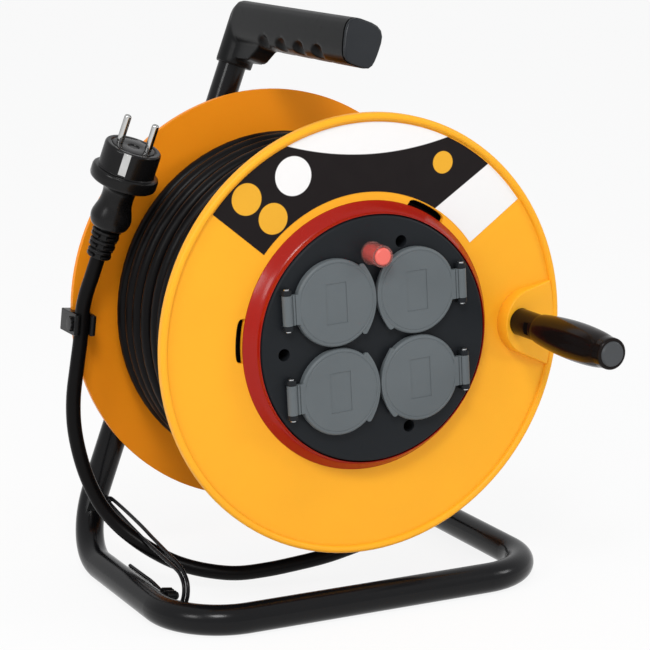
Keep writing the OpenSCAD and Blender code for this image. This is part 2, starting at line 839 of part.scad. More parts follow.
// Least gap of the winding to itself, over points more than half a loop apart
self_gap = min([for (i = [0:len(winding_path) - 1])
    for (j = [i + rings_per_loop / 2:1:min(len(winding_path) - 1, i + 2 * rings_per_loop)])
        norm(winding_path[i] - winding_path[j]) - cord_d]);

module cable_winding() {
    ts = tangents(winding_path);
    ups = [for (i = [0:len(ts) - 1])
        square_to([winding_path[i][0], 0, winding_path[i][2]], ts[i])];
    echo(least_gap_of_winding = self_gap);
    color("#141414") at_hub() tube(winding_path, cord_r, 6, ups);
}

module winding_core() {
    notch_y = wind_rear_y - cord_r - wind_pitch * climb_sweep / 180 - 2 * gap;
    color("#1c1c1c") at_hub() difference() {
        turned(ring(barrel_r + seat, core_r, rim_d + seat, rear_web_y - seat));
        rotate([0, climb_sweep + 30 - lead_angle, 0])
            turned(ring(notch_r, core_r + over, notch_y, rear_web_y), climb_sweep + 30);
        rotate([0, -lead_angle, 0]) block([notch_r, notch_y, -over], [core_r + 9, rear_web_y, cord_d]);
    }
}

// ---------------------------------------------------------------- cord clip

clip_half = cord_r + gap + jaw_t;
clip_x = -(flange_r + clip_out) + clip_half * cos(clip_lean) + clip_h / 2 * sin(clip_lean);
clip_z = -4.5;
clip_y = drum_length - 20;

module cord_clip() {
    channel = cord_r + gap;
    lip = 4.3;
    tall = clip_h / 2;
    hook_t = 2.2;
    color("#1a1a1a") at_hub() difference() {
        translate([clip_x, 0, clip_z]) rotate([0, clip_lean, 0]) difference() {
            block([-clip_half, clip_y - cord_r - 1, -tall], [clip_half, drum_length + hook_t, tall]);
            block([-channel, clip_y - cord_r + 0.5, -tall - over],
                [channel, clip_y + channel, tall + over]);
            block([-lip, clip_y - cord_r - 2, -tall - over], [lip, clip_y, tall + over]);
        }
        turned(ring(0, flange_r + seat, rear_web_y - seat, drum_length + seat));
    }
}

// ---------------------------------------------------------------- socket housing and panel

module socket_housing() {
    lip_y = panel_rear_y - 1.4;
    recess_r = panel_r + panel_clear;
    color("#aa140a") in_panel() difference() {
        union() {
            turned([[ring_r, web_y], [ring_r, 2], [ring_r - 0.4, 1.4], [recess_r + 1.2, lip_y + 0.5],
                [recess_r + 0.8, lip_y], [recess_r, lip_y], [recess_r, panel_rear_y],
                [cup_ri, panel_rear_y], [cup_ri, cup_floor_y], [0, cup_floor_y], [0, cup_depth],
                [cup_ro, cup_depth], [cup_ro, web_y]]);
            for (p = panel_screw_at) bar(5, screw_well_y, cup_floor_y + over, p);
        }
        for (p = panel_screw_at) {
            bar(panel_screw_r + gap, screw_well_y - over, cup_depth + over, p);
            bar(screw_boss_r + seat, panel_rear_y - over, screw_well_y, p);
        }
        bar(cord_r + gap, cup_floor_y - over, cup_depth + over, [0, inner_cord_z]);
    }
}

module hinge_lugs(p) {
    near = hinge_len / 2 + lug_gap;
    for (end = [-1, 1]) translate([p[0] * hinge_x, 0, p[1] * socket_pitch]) {
        z = end > 0 ? near : -near - lug_t;
        block([-hinge_r, hinge_y, z], [hinge_r, panel_y + over, z + lug_t]);
        translate([0, hinge_y, z]) cylinder(r = hinge_r, h = lug_t);
    }
}

module socket_panel() {
    color("#26282a") in_panel() difference() {
        union() {
            turned([[0, panel_y], [panel_r - 2, panel_y], [panel_r - 1.2, panel_y + 0.5],
                [panel_r - 0.8, panel_y + 1.2], [panel_r, panel_rear_y - 2], [panel_r, panel_rear_y],
                [0, panel_rear_y]]);
            for (p = sockets) hinge_lugs(p);
            for (p = panel_screw_at) bar(screw_boss_r, panel_rear_y - over, screw_well_y, p);
        }
        for (p = sockets) {
            bar(insert_r + seat, panel_y - over, panel_rear_y + over, socket_pitch * p);
            translate([p[0] * hinge_x, hinge_y, p[1] * socket_pitch - hinge_len])
                cylinder(r = hinge_pin_r + seat, h = 2 * hinge_len);
        }
        for (p = panel_screw_at) {
            bar(screw_hole_r, panel_y - over, screw_head_y, p);
            bar(panel_screw_r + gap, panel_y, screw_well_y + over, p);
        }
        bar(sleeve_r - 0.75, panel_y - over, panel_rear_y + over, [0, button_z]);
    }
}

module panel_screws() {
    color("#3a3a3a") in_panel() for (p = panel_screw_at) {
        bar(panel_screw_r, screw_head_y - over, cup_depth + 17, p);
        bar(2 * panel_screw_r, screw_head_y - 3, screw_head_y, p);
    }
}

// ---------------------------------------------------------------- sockets

contact_r = pin_r + 0.1;
contact_wall = 1.4;
cavity_r = contact_r + contact_wall + 0.4;
clip_arm_w = 6;
clip_arm_r = well_r + 0.3;

module socket_insert(i) {
    pins = [for (s = [-1, 1]) [s * pin_pitch / 2, 0]];
    floor_y = well_y + well_floor_t;
    color("#2c2e30") in_panel() translate([socket_pitch * sockets[i][0], 0, socket_pitch * sockets[i][1]])
        difference() {
            turned([[well_r, collar_y], [collar_r, collar_y], [collar_r, panel_y], [insert_r, panel_y],
                [insert_r, insert_rear_y], [0, insert_rear_y], [0, well_y], [well_r, well_y]]);
            for (p = pins) {
                bar(pin_r + 0.2, well_y - over, floor_y + over, p);
                bar(cavity_r, floor_y, insert_rear_y + over, p);
            }
            for (s = [-1, 1])
                block([-clip_arm_w / 2 - 0.5, panel_y + 2, s * (clip_arm_r + 0.5) - 1.3],
                    [clip_arm_w / 2 + 0.5, insert_rear_y + over, s * (clip_arm_r + 0.5) + 1.1]);
        }
}

module socket_insert_1() { socket_insert(0); }
module socket_insert_2() { socket_insert(1); }
module socket_insert_3() { socket_insert(2); }
module socket_insert_4() { socket_insert(3); }

// A rail joins the contact sleeves of one pole: one strip beside each column of sockets
module pole_rail(side, strip_y) {
    strip_w = 7;
    columns = [for (s = [-1, 1]) s * socket_pitch + side * pin_pitch / 2];
    in_panel() difference() {
        union() {
            for (x = columns) {
                block([x - strip_w / 2, strip_y, -socket_pitch - 6],
                    [x + strip_w / 2, strip_y + rail_t, socket_pitch + 6]);
                for (s = [-1, 1]) bar(contact_r + contact_wall, well_y + well_floor_t + 0.5,
                    strip_y + rail_t / 2, [x, s * socket_pitch]);
            }
            block([columns[0], strip_y, -strip_w / 2], [columns[1], strip_y + rail_t, strip_w / 2]);
        }
        for (x = columns, s = [-1, 1])
            bar(contact_r, well_y, strip_y + rail_t + over, [x, s * socket_pitch]);
    }
}

module line_rail() {
    color("#b8923c") pole_rail(-1, insert_rear_y);
}

module neutral_rail() {
    color("#b8923c") pole_rail(1, insert_rear_y + rail_t + 1.5);
}

module earth_rail() {
    strip_y = insert_rear_y + 2 * rail_t + 3;
    half_w = clip_arm_w / 2;
    arm_y = panel_y + 3;
    color("#c09a44") in_panel() union() {
        for (p = sockets, s = [-1, 1]) {
            z = p[1] * socket_pitch + s * (clip_arm_r + 0.5);
            block([p[0] * socket_pitch - half_w, arm_y, z - 0.5],
                [p[0] * socket_pitch + half_w, strip_y + rail_t / 2, z + 0.5]);
        }
        for (s = [-1, 1]) block(
            [s * socket_pitch - half_w, strip_y, -socket_pitch - clip_arm_r - over],
            [s * socket_pitch + half_w, strip_y + rail_t, socket_pitch + clip_arm_r + over]);
        block([-socket_pitch, strip_y, -half_w], [socket_pitch, strip_y + rail_t, half_w]);
    }
}

// ---------------------------------------------------------------- lids

lid_ear_r = lid_r + 3.2;
lid_ear_angle = 50;
hinge_dx = hinge_x - socket_pitch;

// A small corner on the lid's free side
module lid_ear(a) {
    polygon([[0, 0], (lid_r - 0.5) * [cos(a - 9), sin(a - 9)], lid_ear_r * [cos(a - 5), sin(a - 5)],
        lid_ear_r * [cos(a + 4), sin(a + 4)], (lid_r - 0.5) * [cos(a + 9), sin(a + 9)]]);
}

// A lid drawn about its socket's axis, its hinge on the +X side
module lid_shape() {
    half = hinge_len / 2;
    difference() {
        union() {
            slab(lid_y, lid_y + lid_t) {
                circle(lid_r);
                for (s = [-1, 1]) lid_ear(180 + s * lid_ear_angle);
            }
            turned(ring(lid_r - lid_t, lid_r, lid_y + lid_t / 2, lid_foot_y));
            block([lid_r - lid_t - 1, lid_y, -half], [hinge_dx, lid_y + lid_t, half]);
            block([lid_r - 0.8, lid_y, -half], [hinge_dx, hinge_y + 1.2, half]);
            translate([hinge_dx, hinge_y, -half]) cylinder(r = hinge_r, h = hinge_len);
            block([-6.5, lid_y - 0.4, -12], [6.5, lid_y + over, 12]);
        }
        translate([hinge_dx, hinge_y, -half - over])
            cylinder(r = hinge_pin_r + running_clear, h = hinge_len + 2 * over);
        translate([hinge_dx, hinge_y, -spring_half - gap])
            cylinder(r = spring_r + gap, h = 2 * (spring_half + gap));
    }
}

spring_half = hinge_len / 4;
spring_r = hinge_r - 1.2;

module socket_lid(i) {
    p = sockets[i];
    color("#5a6064") in_panel() translate([socket_pitch * p[0], 0, socket_pitch * p[1]])
        rotate([0, p[0] > 0 ? 0 : 180, 0]) lid_shape();
}

module socket_lid_1() { socket_lid(0); }
module socket_lid_2() { socket_lid(1); }
module socket_lid_3() { socket_lid(2); }
module socket_lid_4() { socket_lid(3); }

module lid_pins() {
    half = hinge_len / 2 + lug_gap + lug_t;
    head = 0.9;
    color("#c8ccd0") in_panel() for (p = sockets)
        translate([p[0] * hinge_x, hinge_y, p[1] * socket_pitch]) {
            translate([0, 0, -half]) cylinder(r = hinge_pin_r, h = 2 * half);
            for (s = [-half - head, half]) translate([0, 0, s]) cylinder(r = 1.6 * hinge_pin_r, h = head);
        }
}

module lid_springs() {
    color("#b0b4b8") in_panel() for (p = sockets)
        translate([p[0] * hinge_x, hinge_y, p[1] * socket_pitch - spring_half]) difference() {
            cylinder(r = spring_r, h = 2 * spring_half);
            translate([0, 0, -over]) cylinder(r = hinge_pin_r + seat, h = 2 * spring_half + 2 * over);
        }
}

// ---------------------------------------------------------------- reset button and cut-out

neck_r = sleeve_r - 0.8;
neck_end_y = panel_rear_y + 4;

module about_button() {
    in_panel() translate([0, 0, button_z]) children();
}

module button_sleeve() {
    inner = sleeve_r - sleeve_wall;
    foot = 0.6;
    color("#e89a90") about_button() turned([[inner, button_y + 1.5], [sleeve_r, button_y + 1.5],
        [sleeve_r, panel_y - 1.2], [sleeve_r + foot, panel_y - 1.2], [sleeve_r + foot, panel_y],
        [neck_r, panel_y], [neck_r, neck_end_y], [inner, neck_end_y]]);
}

module reset_button() {
    color("#d8281c") about_button() turned([[0, button_y], [button_r - 1, button_y],
        [button_r, button_y + 1], [button_r, neck_end_y + 0.5], [0, neck_end_y + 0.5]]);
}

module cutout_nut() {
    color("#303030") about_button() hex_nut(neck_r + seat, panel_rear_y, panel_rear_y + 3, 15);
}

module cutout_body() {
    rear_y = neck_end_y + 27;
    color("#3a3430") about_button() difference() {
        union() {
            block([-7.5, neck_end_y, -13], [7.5, rear_y, 8]);
            for (s = [-1, 1]) block([3 * s - 0.4, rear_y - over, -3], [3 * s + 0.4, rear_y + 7, 3]);
        }
        bar(button_r + gap, neck_end_y - over, neck_end_y + button_travel + 1.5);
    }
}

module terminal_block() {
    color("#d8d4c8") in_panel() difference() {
        block([-14, cup_floor_y - 16, terminal_z], [14, cup_floor_y, lead_z]);
        for (x = [-9, 0, 9])
            bar(2, cup_floor_y - 18, cup_floor_y - 8, [x, terminal_z + terminal_h / 2]);
    }
}

module inner_cord() {
    color("#181818") in_panel() union() {
        bar(cord_r, inner_start_y, inner_bend_y, [0, inner_cord_z]);
        translate([0, inner_bend_y, inner_cord_z - inner_bend_r]) rotate([0, -90, 0])
            rotate_extrude(angle = 90) translate([inner_bend_r, 0]) circle(cord_r);
        translate([0, gland_y, -barrel_r + 0.4])
            cylinder(r = cord_r, h = barrel_r - 0.4 + inner_cord_z - inner_bend_r);
    }
}

module cord_gland() {
    color("#2a2a2a") in_panel() translate([0, gland_y, 0]) difference() {
        union() {
            translate([0, 0, -barrel_r + 0.5]) cylinder(r = 7, h = 7);
            translate([0, 0, -barrel_ri + 0.8]) cylinder(r = 9.5, h = 3);
        }
        translate([0, 0, -barrel_r - over]) cylinder(r = cord_r + seat, h = 20);
    }
}

module inner_leads() {
    color("#4060a0") in_panel() for (route = lead_routes) free_tube(route, lead_d / 2, 8);
}

// ---------------------------------------------------------------- crank

module about_crank() {
    at_hub() translate([crank_x, 0, 0]) children();
}

crank_nut_t = 6;
crank_washer_t = 1.5;
crank_washer_y = crank_recess_y - gap - crank_washer_t;
crank_nut_y = crank_washer_y - crank_nut_t;
crank_recess_r = 8.2;

module crank_bolt() {
    color("#b4b8bc") about_crank() union() {
        bar(crank_bolt_r, crank_nut_y - 0.5, rim_d - over);
        translate([0, rim_d - seat, 0]) crank_sink(0);
    }
}

module crank_sleeve() {
    window = [5, 8];
    color("#171717") about_crank() difference() {
        bar(crank_sleeve_r, crank_sleeve_y, pad_y);
        bar(crank_bolt_r + seat, crank_sleeve_y - over, pad_y + over);
        block([-crank_sleeve_r - over, crank_sleeve_y + 4, -window[1] / 2],
            [1 - crank_sleeve_r + 1.5, crank_sleeve_y + 4 + window[0], window[1] / 2]);
    }
}

module crank_washer() {
    color("#b0b0b0") about_crank()
        turned(ring(crank_bolt_r + seat, 7.5, crank_washer_y, crank_washer_y + crank_washer_t));
}

module crank_nut() {
    color("#a0a0a0") about_crank() hex_nut(crank_bolt_r + seat, crank_nut_y, crank_washer_y, 13);
}

// Bulged grip: [share of its length, radius]
crank_shape = [[0, 9.8], [0.03, 10.2], [0.16, 11.4], [0.32, 12.3], [0.5, 12.8], [0.66, 12.5],
    [0.79, 11.8], [0.86, 11], [0.91, 10.4], [0.985, 10.4], [1, 9.6]];

module crank_grip() {
    bulge = crank_grip_r / 12.8;
    bore = crank_bolt_r + running_clear;
    color("#181616") about_crank() turned(concat(
        [[bore, crank_grip_y]],
        [for (s = crank_shape) [bulge * s[1], crank_grip_y - s[0] * crank_grip_len]],
        [[crank_recess_r, crank_front_y], [crank_recess_r, crank_recess_y], [bore, crank_recess_y]]));
}

module crank_end_cap() {
    inner_y = crank_nut_y - 1.2;
    color("#4a4d50") about_crank() turned([[0, crank_front_y - crank_cap_proud],
        [crank_recess_r - 1, crank_front_y - crank_cap_proud], [crank_recess_r - seat, crank_front_y],
        [crank_recess_r - seat, inner_y], [0, inner_y]]);
}

// ---------------------------------------------------------------- free cord and plug

module free_cord() {
    color("#141414") free_tube(cord_route, cord_r, cord_sides);
}

cord_end = cord_route[len(cord_route) - 1];
plug_dir = unit(cord_end - cord_route[len(cord_route) - 2]);
plug_roll = 21;
relief_len = 22;
face_h = 17;

module on_plug() {
    tilt = acos(plug_dir[2]);
    heading = atan2(plug_dir[1], plug_dir[0]);
    translate(cord_end) rotate([0, tilt, heading]) rotate([0, 0, plug_roll]) children();
}

// Profile of the ribbed strain relief: [radius, height above its end]
function relief_profile() = concat(
    [[0, 0.1], [6.2, 0.1]],
    [for (i = [0:relief_ribs - 1], k = [0:3])
        [(k == 0 || k == 3 ? 6.4 : 7.6) + 0.15 * i, 1 + (i + k * 0.25) * (relief_len - 2) / relief_ribs]],
    [[8.4, relief_len], [0, relief_len]]);

// Profile of the moulded plug above it
function plug_profile() = [[0, relief_len + seat], [8.4, relief_len + seat], [9, relief_len + 2],
    [12, relief_len + 5], [12.6, relief_len + 9], [11.2, relief_len + 20], [11.6, relief_len + 24],
    [10, relief_len + 28], [12, relief_len + 31], [plug_skirt_r - 0.8, plug_len - face_h - 8.5],
    [plug_skirt_r, plug_len - face_h - 7], [plug_skirt_r, plug_len - face_h - 1],
    [plug_skirt_r - 0.8, plug_len - face_h], [plug_r, plug_len - face_h],
    [plug_r, plug_len - 1.5], [plug_r - 1.5, plug_len], [0, plug_len]];

strip_w = 5;
strip_t = 1;
pin_neck_r = pin_r - 0.3;
pin_neck_out = 0.6;
pin_sunk = 11.9;

module plug_relief() {
    color("#1a1a1a") on_plug() rotate_extrude() polygon(relief_profile());
}

module plug_body() {
    color("#181818") on_plug() difference() {
        rotate_extrude() polygon(plug_profile());
        for (s = [-1, 1]) {
            translate([s * pin_pitch / 2, 0, plug_len - pin_sunk - 0.1]) cylinder(r = pin_neck_r + seat, h = 20);
            block([-strip_w / 2 - seat, s > 0 ? plug_r - strip_t - seat : -plug_r - over, plug_len - face_h],
                [strip_w / 2 + seat, s > 0 ? plug_r + over : -plug_r + strip_t + seat, plug_len + over]);
        }
    }
}

module plug_pins() {
    color("#c0c4c8") on_plug() for (s = [-1, 1]) translate([s * pin_pitch / 2, 0, plug_len]) {
        translate([0, 0, -pin_sunk]) cylinder(r = pin_neck_r, h = pin_sunk + pin_neck_out);
        translate([0, 0, pin_neck_out]) cylinder(r = pin_r, h = pin_len - pin_neck_out - 1);
        translate([0, 0, pin_len - 1]) cylinder(r1 = pin_r, r2 = pin_r - 1, h = 1);
    }
}

module plug_earth_strips() {
    color("#c8ccd0") on_plug() for (s = [-1, 1])
        block([-strip_w / 2, s > 0 ? plug_r - strip_t : -plug_r, plug_len - face_h + seat],
            [strip_w / 2, s > 0 ? plug_r : -plug_r + strip_t, plug_len - 0.5]);
}

// ---------------------------------------------------------------- nodes

stand_frame();
grip_shell_left();
grip_shell_right();
grip_end_cap();
grip_screws();
axle_spindle();
axle_washers();
axle_nuts();
thrust_washer();
guide_wire();
guide_clamps();
guide_screws();
front_flange();
rear_flange();
drum_screws();
flange_label();
winding_core();
cable_winding();
cord_clip();
socket_housing();
socket_panel();
panel_screws();
socket_insert_1();
socket_insert_2();
socket_insert_3();
socket_insert_4();
line_rail();
neutral_rail();
earth_rail();
cutout_body();
cutout_nut();
button_sleeve();
reset_button();
terminal_block();
cord_gland();
inner_cord();
inner_leads();
socket_lid_1();
socket_lid_2();
socket_lid_3();
socket_lid_4();
lid_pins();
lid_springs();
crank_bolt();
crank_sleeve();
crank_washer();
crank_nut();
crank_grip();
crank_end_cap();
free_cord();
plug_relief();
plug_body();
plug_pins();
plug_earth_strips();
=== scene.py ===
"""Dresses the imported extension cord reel: its cord, winding, grip, lids, crank, plug and every finish.

Sizes in the classes are millimetres and shapes are made in metres. In drum coordinates the
drum's axis is +Y through the hub and the front rim lies at Y 0. Heights are measured from
that rim towards the socket side, which is -Y.
"""

import json
import logging
import math
from dataclasses import dataclass
from enum import Enum
from typing import Any, Callable, ClassVar, Iterable, Optional, Sequence, Union

import bmesh
import bpy
from mathutils import Matrix, Vector


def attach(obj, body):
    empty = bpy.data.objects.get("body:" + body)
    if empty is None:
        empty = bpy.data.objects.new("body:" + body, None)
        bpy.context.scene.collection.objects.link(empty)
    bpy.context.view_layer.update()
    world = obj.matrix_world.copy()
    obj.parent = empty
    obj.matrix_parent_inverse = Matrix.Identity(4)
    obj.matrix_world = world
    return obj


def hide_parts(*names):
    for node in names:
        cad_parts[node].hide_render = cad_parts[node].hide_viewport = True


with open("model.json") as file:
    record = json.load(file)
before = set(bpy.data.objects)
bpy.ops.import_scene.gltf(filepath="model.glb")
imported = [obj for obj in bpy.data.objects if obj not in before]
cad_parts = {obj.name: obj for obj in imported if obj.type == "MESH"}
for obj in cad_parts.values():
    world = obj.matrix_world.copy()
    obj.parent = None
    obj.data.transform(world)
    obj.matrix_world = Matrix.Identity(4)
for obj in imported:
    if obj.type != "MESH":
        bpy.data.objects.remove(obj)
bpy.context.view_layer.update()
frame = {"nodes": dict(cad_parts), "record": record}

LOG = logging.getLogger("cord_reel")
MM = 0.001
HUB = Vector((4.0, -44.85, 185.0))
PANEL_TURN = 3.2
SOCKET_PITCH = 29.1
SOCKETS = ((-1, 1), (1, 1), (-1, -1), (1, -1))

Colour = tuple[float, float, float]
Place = tuple[float, float, float]
Profile = Sequence[tuple[float, float]]
Value = Union["Wire", float, int, Sequence[float]]


class Meet(Enum):
    """What one shape does to another."""

    CUT = "DIFFERENCE"
    WELD = "UNION"


def shift(x: float = 0.0, y: float = 0.0, z: float = 0.0) -> Matrix:
    """Gives a move in millimetres."""
    return Matrix.Translation((x * MM, y * MM, z * MM))


def spin(axis: str, degrees: float) -> Matrix:
    """Gives a turn about an axis through the origin."""
    return Matrix.Rotation(math.radians(degrees), 4, axis)


def sideways(y: float, z: float) -> Matrix:
    """Gives the place of a shape that is turned to point to +X."""
    return shift(0.0, y, z) @ spin("Y", 90)


def by_hub(at: Place, lean: float) -> Matrix:
    """Gives a place measured from the hub, leaned about Y by degrees."""
    return Matrix.Translation((HUB + Vector(at)) * MM) @ spin("Y", lean)


def on_drum(at: Place = (0.0, 0.0, 0.0), turn: float = 0.0) -> Matrix:
    """Gives the matrix that puts a shape on the drum with its +Z to the front.

    Args:
        at: Place in drum coordinates, in millimetres, before the turn.
        turn: Turn about the drum's axis in degrees, anticlockwise from the front.

    Returns:
        The matrix from the shape's own metres to the floor frame.
    """
    return by_hub((0.0, 0.0, 0.0), -turn) @ Matrix.Translation(Vector(at) * MM) @ spin("X", 90)


def along_curve(points: Sequence[Sequence[float]], steps: int) -> list[Vector]:
    """Runs a smooth line through points.

    Args:
        points: Points of any size, which the line passes through.
        steps: Number of pieces between each two points.

    Returns:
        The points of the smooth line, both ends included.
    """
    rows = [Vector(p) for p in points]
    rows = [2 * rows[0] - rows[1], *rows, 2 * rows[-1] - rows[-2]]
    line = []
    for a, b, c, d in zip(rows, rows[1:], rows[2:], rows[3:]):
        for k in range(steps):
            t = k / steps
            line.append(
                0.5 * (2 * b + (c - a) * t + (2 * a - 5 * b + 4 * c - d) * t * t
                       + (3 * b - 3 * c + d - a) * t ** 3)
            )
    return [*line, rows[-2]]


# ---------------------------------------------------------------- shader recipes


class Wire:
    """An output socket that can be reckoned with like a number."""

    def __init__(self, tree: bpy.types.NodeTree, socket: bpy.types.NodeSocket) -> None:
        """Keeps the tree and the socket that the value comes out of."""
        self.tree = tree
        self.socket = socket

    def reckon(self, operation: str, *values: Value) -> "Wire":
        """Adds one Math node.

        Args:
            operation: The Math node's operation.
            values: Its inputs in order.

        Returns:
            The node's output.
        """
        node = self.tree.nodes.new("ShaderNodeMath")
        node.operation = operation
        for socket, value in zip(node.inputs, values):
            feed(self.tree, socket, value)
        return Wire(self.tree, node.outputs[0])

    def __add__(self, other: Value) -> "Wire":
        """Adds a value."""
        return self.reckon("ADD", self, other)

    __radd__ = __add__

    def __mul__(self, other: Value) -> "Wire":
        """Multiplies by a value."""
        return self.reckon("MULTIPLY", self, other)

    __rmul__ = __mul__

    def __sub__(self, other: Value) -> "Wire":
        """Takes a value away."""
        return self.reckon("SUBTRACT", self, other)

    def __rsub__(self, other: Value) -> "Wire":
        """Takes this value away from another."""
        return self.reckon("SUBTRACT", other, self)

    def __pow__(self, other: Value) -> "Wire":
        """Raises to a power."""
        return self.reckon("POWER", self, other)

    def either(self, other: Value) -> "Wire":
        """Takes the greater of two values."""
        return self.reckon("MAXIMUM", self, other)

    def ramp(self, low: float, high: float) -> "Wire":
        """Rises from 0 at low to 1 at high and stays inside those."""
        node = self.tree.nodes.new("ShaderNodeMapRange")
        node.interpolation_type = "SMOOTHSTEP"
        feed(self.tree, node.inputs["Value"], self)
        node.inputs["From Min"].default_value = low
        node.inputs["From Max"].default_value = high
        return Wire(self.tree, node.outputs["Result"])


def feed(tree: bpy.types.NodeTree, socket: bpy.types.NodeSocket, value: Value) -> None:
    """Gives a socket its value or its link.

    Args:
        tree: The node tree of the socket.
        socket: The input socket.
        value: A wire, a number, or a colour or vector.
    """
    if isinstance(value, Wire):
        tree.links.new(value.socket, socket)
    elif isinstance(value, (int, float)):
        socket.default_value = value
    else:
        wanted = len(socket.default_value)
        socket.default_value = (*value, 1.0)[:wanted]


class Recipe:
    """A node tree being put together for one material or world."""

    def __init__(self, owner: Union[bpy.types.Material, bpy.types.World]) -> None:
        """Empties the owner's tree."""
        owner.use_nodes = True
        self.owner = owner
        self.tree = owner.node_tree
        self.tree.nodes.clear()

    def node(
        self, kind: str, settings: Optional[dict[str, Any]] = None,
        inputs: Optional[dict[Union[str, int], Value]] = None,
    ) -> bpy.types.Node:
        """Adds any node.

        Args:
            kind: The node's type.
            settings: Attributes set first, such as a feature.
            inputs: Values or wires by socket name or number.

        Returns:
            The node.
        """
        node = self.tree.nodes.new(kind)
        for key, value in (settings or {}).items():
            setattr(node, key, value)
        for key, value in (inputs or {}).items():
            feed(self.tree, node.inputs[key], value)
        return node

    def out(self, node: bpy.types.Node, socket: Union[str, int] = 0) -> Wire:
        """Wraps one of a node's outputs."""
        return Wire(self.tree, node.outputs[socket])

    def place(self, origin: Place = (0.0, 0.0, 0.0)) -> Wire:
        """Gives object coordinates in metres about an origin in millimetres."""
        raw = self.out(self.node("ShaderNodeTexCoord"), "Object")
        return self.out(self.node(
            "ShaderNodeMapping", {"vector_type": "TEXTURE"},
            {"Vector": raw, "Location": [v * MM for v in origin]}))

    def split(self, vector: Wire) -> tuple[Wire, Wire, Wire]:
        """Parts a vector into X, Y and Z in millimetres."""
        node = self.node("ShaderNodeSeparateXYZ", inputs={"Vector": vector})
        return tuple(self.out(node, k) * 1000.0 for k in range(3))

    def noise(self, size: float, detail: float = 2.0, roughness: float = 0.5, warp: float = 0.0) -> Wire:
        """Gives even noise from 0 to 1.

        Args:
            size: Size of its blotches in millimetres.
            detail: Octaves.
            roughness: Share that each finer octave keeps.
            warp: Distortion.

        Returns:
            The noise.
        """
        node = self.node(
            "ShaderNodeTexNoise", None,
            {"Vector": self.place(), "Scale": 1000.0 / size, "Detail": detail,
             "Roughness": roughness, "Distortion": warp},
        )
        return self.out(node)

    def cells(self, size: float) -> Wire:
        """Gives the distance to the middle of the nearest grain of that size in millimetres."""
        node = self.node(
            "ShaderNodeTexVoronoi", {"feature": "SMOOTH_F1"},
            {"Vector": self.place(), "Scale": 1000.0 / size, "Smoothness": 0.6},
        )
        return self.out(node)

    def mixed(self, factor: Value, first: Value, second: Value) -> Wire:
        """Mixes two colours.

        Args:
            factor: Share of the second colour.
            first: First colour.
            second: Second colour.

        Returns:
            The mixed colour.
        """
        node = self.node("ShaderNodeMix", {"data_type": "RGBA"})
        feed(self.tree, node.inputs[0], factor)
        feed(self.tree, node.inputs[6], first)
        feed(self.tree, node.inputs[7], second)
        return self.out(node, 2)

    def relief(self, height: Wire, depth: float, edge: float = 0.0) -> Wire:
        """Bumps the surface.

        Args:
            height: Height from 0 to 1.
            depth: Depth of 1 in millimetres.
            edge: Radius in millimetres by which sharp edges look rounded.

        Returns:
            The normal.
        """
        inputs: dict[Union[str, int], Value] = {"Height": height, "Distance": depth * MM}
        if edge > 0:
            bevel = self.node("ShaderNodeBevel", {"samples": 4}, {"Radius": edge * MM})
            inputs["Normal"] = self.out(bevel)
        return self.out(self.node("ShaderNodeBump", None, inputs))

    def shade(self, inputs: dict[Union[str, int], Value]) -> bpy.types.Material:
        """Ends the recipe with the main shader.

        Args:
            inputs: The shader's inputs.

        Returns:
            The finished material.
        """
        shader = self.node("ShaderNodeBsdfPrincipled", None, inputs)
        self.node("ShaderNodeOutputMaterial", None, {"Surface": self.out(shader)})
        return self.owner


# ---------------------------------------------------------------- finishes


def toned(colour: Colour, by: float) -> Colour:
    """Lightens or darkens a colour by a factor."""
    return tuple(min(1.0, c * by) for c in colour)


@dataclass(frozen=True)
class Finish:
    """A surface finish, named after its material slot. Its material is made once and shared."""

    name: str
    made: ClassVar[dict[str, bpy.types.Material]] = {}

    @property
    def slot(self) -> str:
        """Gives the record's material slot."""
        return self.name.removesuffix("_finish")

    def mix(self, book: Recipe) -> dict[Union[str, int], Value]:
        """Gives the main shader's inputs."""
        raise NotImplementedError

    def material(self) -> bpy.types.Material:
        """Gives the finish's material, made on first use."""
        if self.name not in Finish.made:
            book = Recipe(bpy.data.materials.new(self.name))
            Finish.made[self.name] = book.shade(self.mix(book))
        return Finish.made[self.name]

    def coat(self, piece: bpy.types.Object) -> None:
        """Puts the finish on a whole piece."""
        if not piece.material_slots:
            piece.data.materials.append(self.material())
        for slot in piece.material_slots:
            slot.material = self.material()


@dataclass(frozen=True)
class MouldedPlastic(Finish):
    """Injection-moulded plastic with a skin grain, slow mottling and faint rub marks."""

    colour: Colour = (0.5, 0.5, 0.5)
    roughness: float = 0.4
    grain: float = 0.5
    depth: float = 0.02
    mottle: float = 0.06
    rub: float = 0.08
    edge: float = 0.5
    gloss: float = 0.5
    clear: float = 0.0
    glow: float = 0.0

    def mix(self, book: Recipe) -> dict[Union[str, int], Value]:
        """Gives the main shader's inputs."""
        slow = book.noise(38.0, 3.0)
        fine = book.noise(self.grain, 2.0, 0.6)
        streak = book.noise(7.0, 4.0, 0.7, 1.5).ramp(0.55, 0.75)
        tone = book.mixed(slow, toned(self.colour, 1 - self.mottle), toned(self.colour, 1 + self.mottle))
        inputs: dict[Union[str, int], Value] = {
            "Base Color": book.mixed(fine * 0.12, tone, toned(self.colour, 0.7)),
            "Roughness": self.roughness + (slow - 0.5) * 0.08 + streak * self.rub,
            "Normal": book.relief(fine + book.noise(9.0, 2.0) * 0.5, self.depth, self.edge),
            "Specular IOR Level": self.gloss,
        }
        if self.clear > 0:
            inputs.update({"Coat Weight": self.clear, "Coat Roughness": 0.12})
        if self.glow > 0:
            inputs.update({"Subsurface Weight": self.glow, "Subsurface Scale": 0.002})
        return inputs


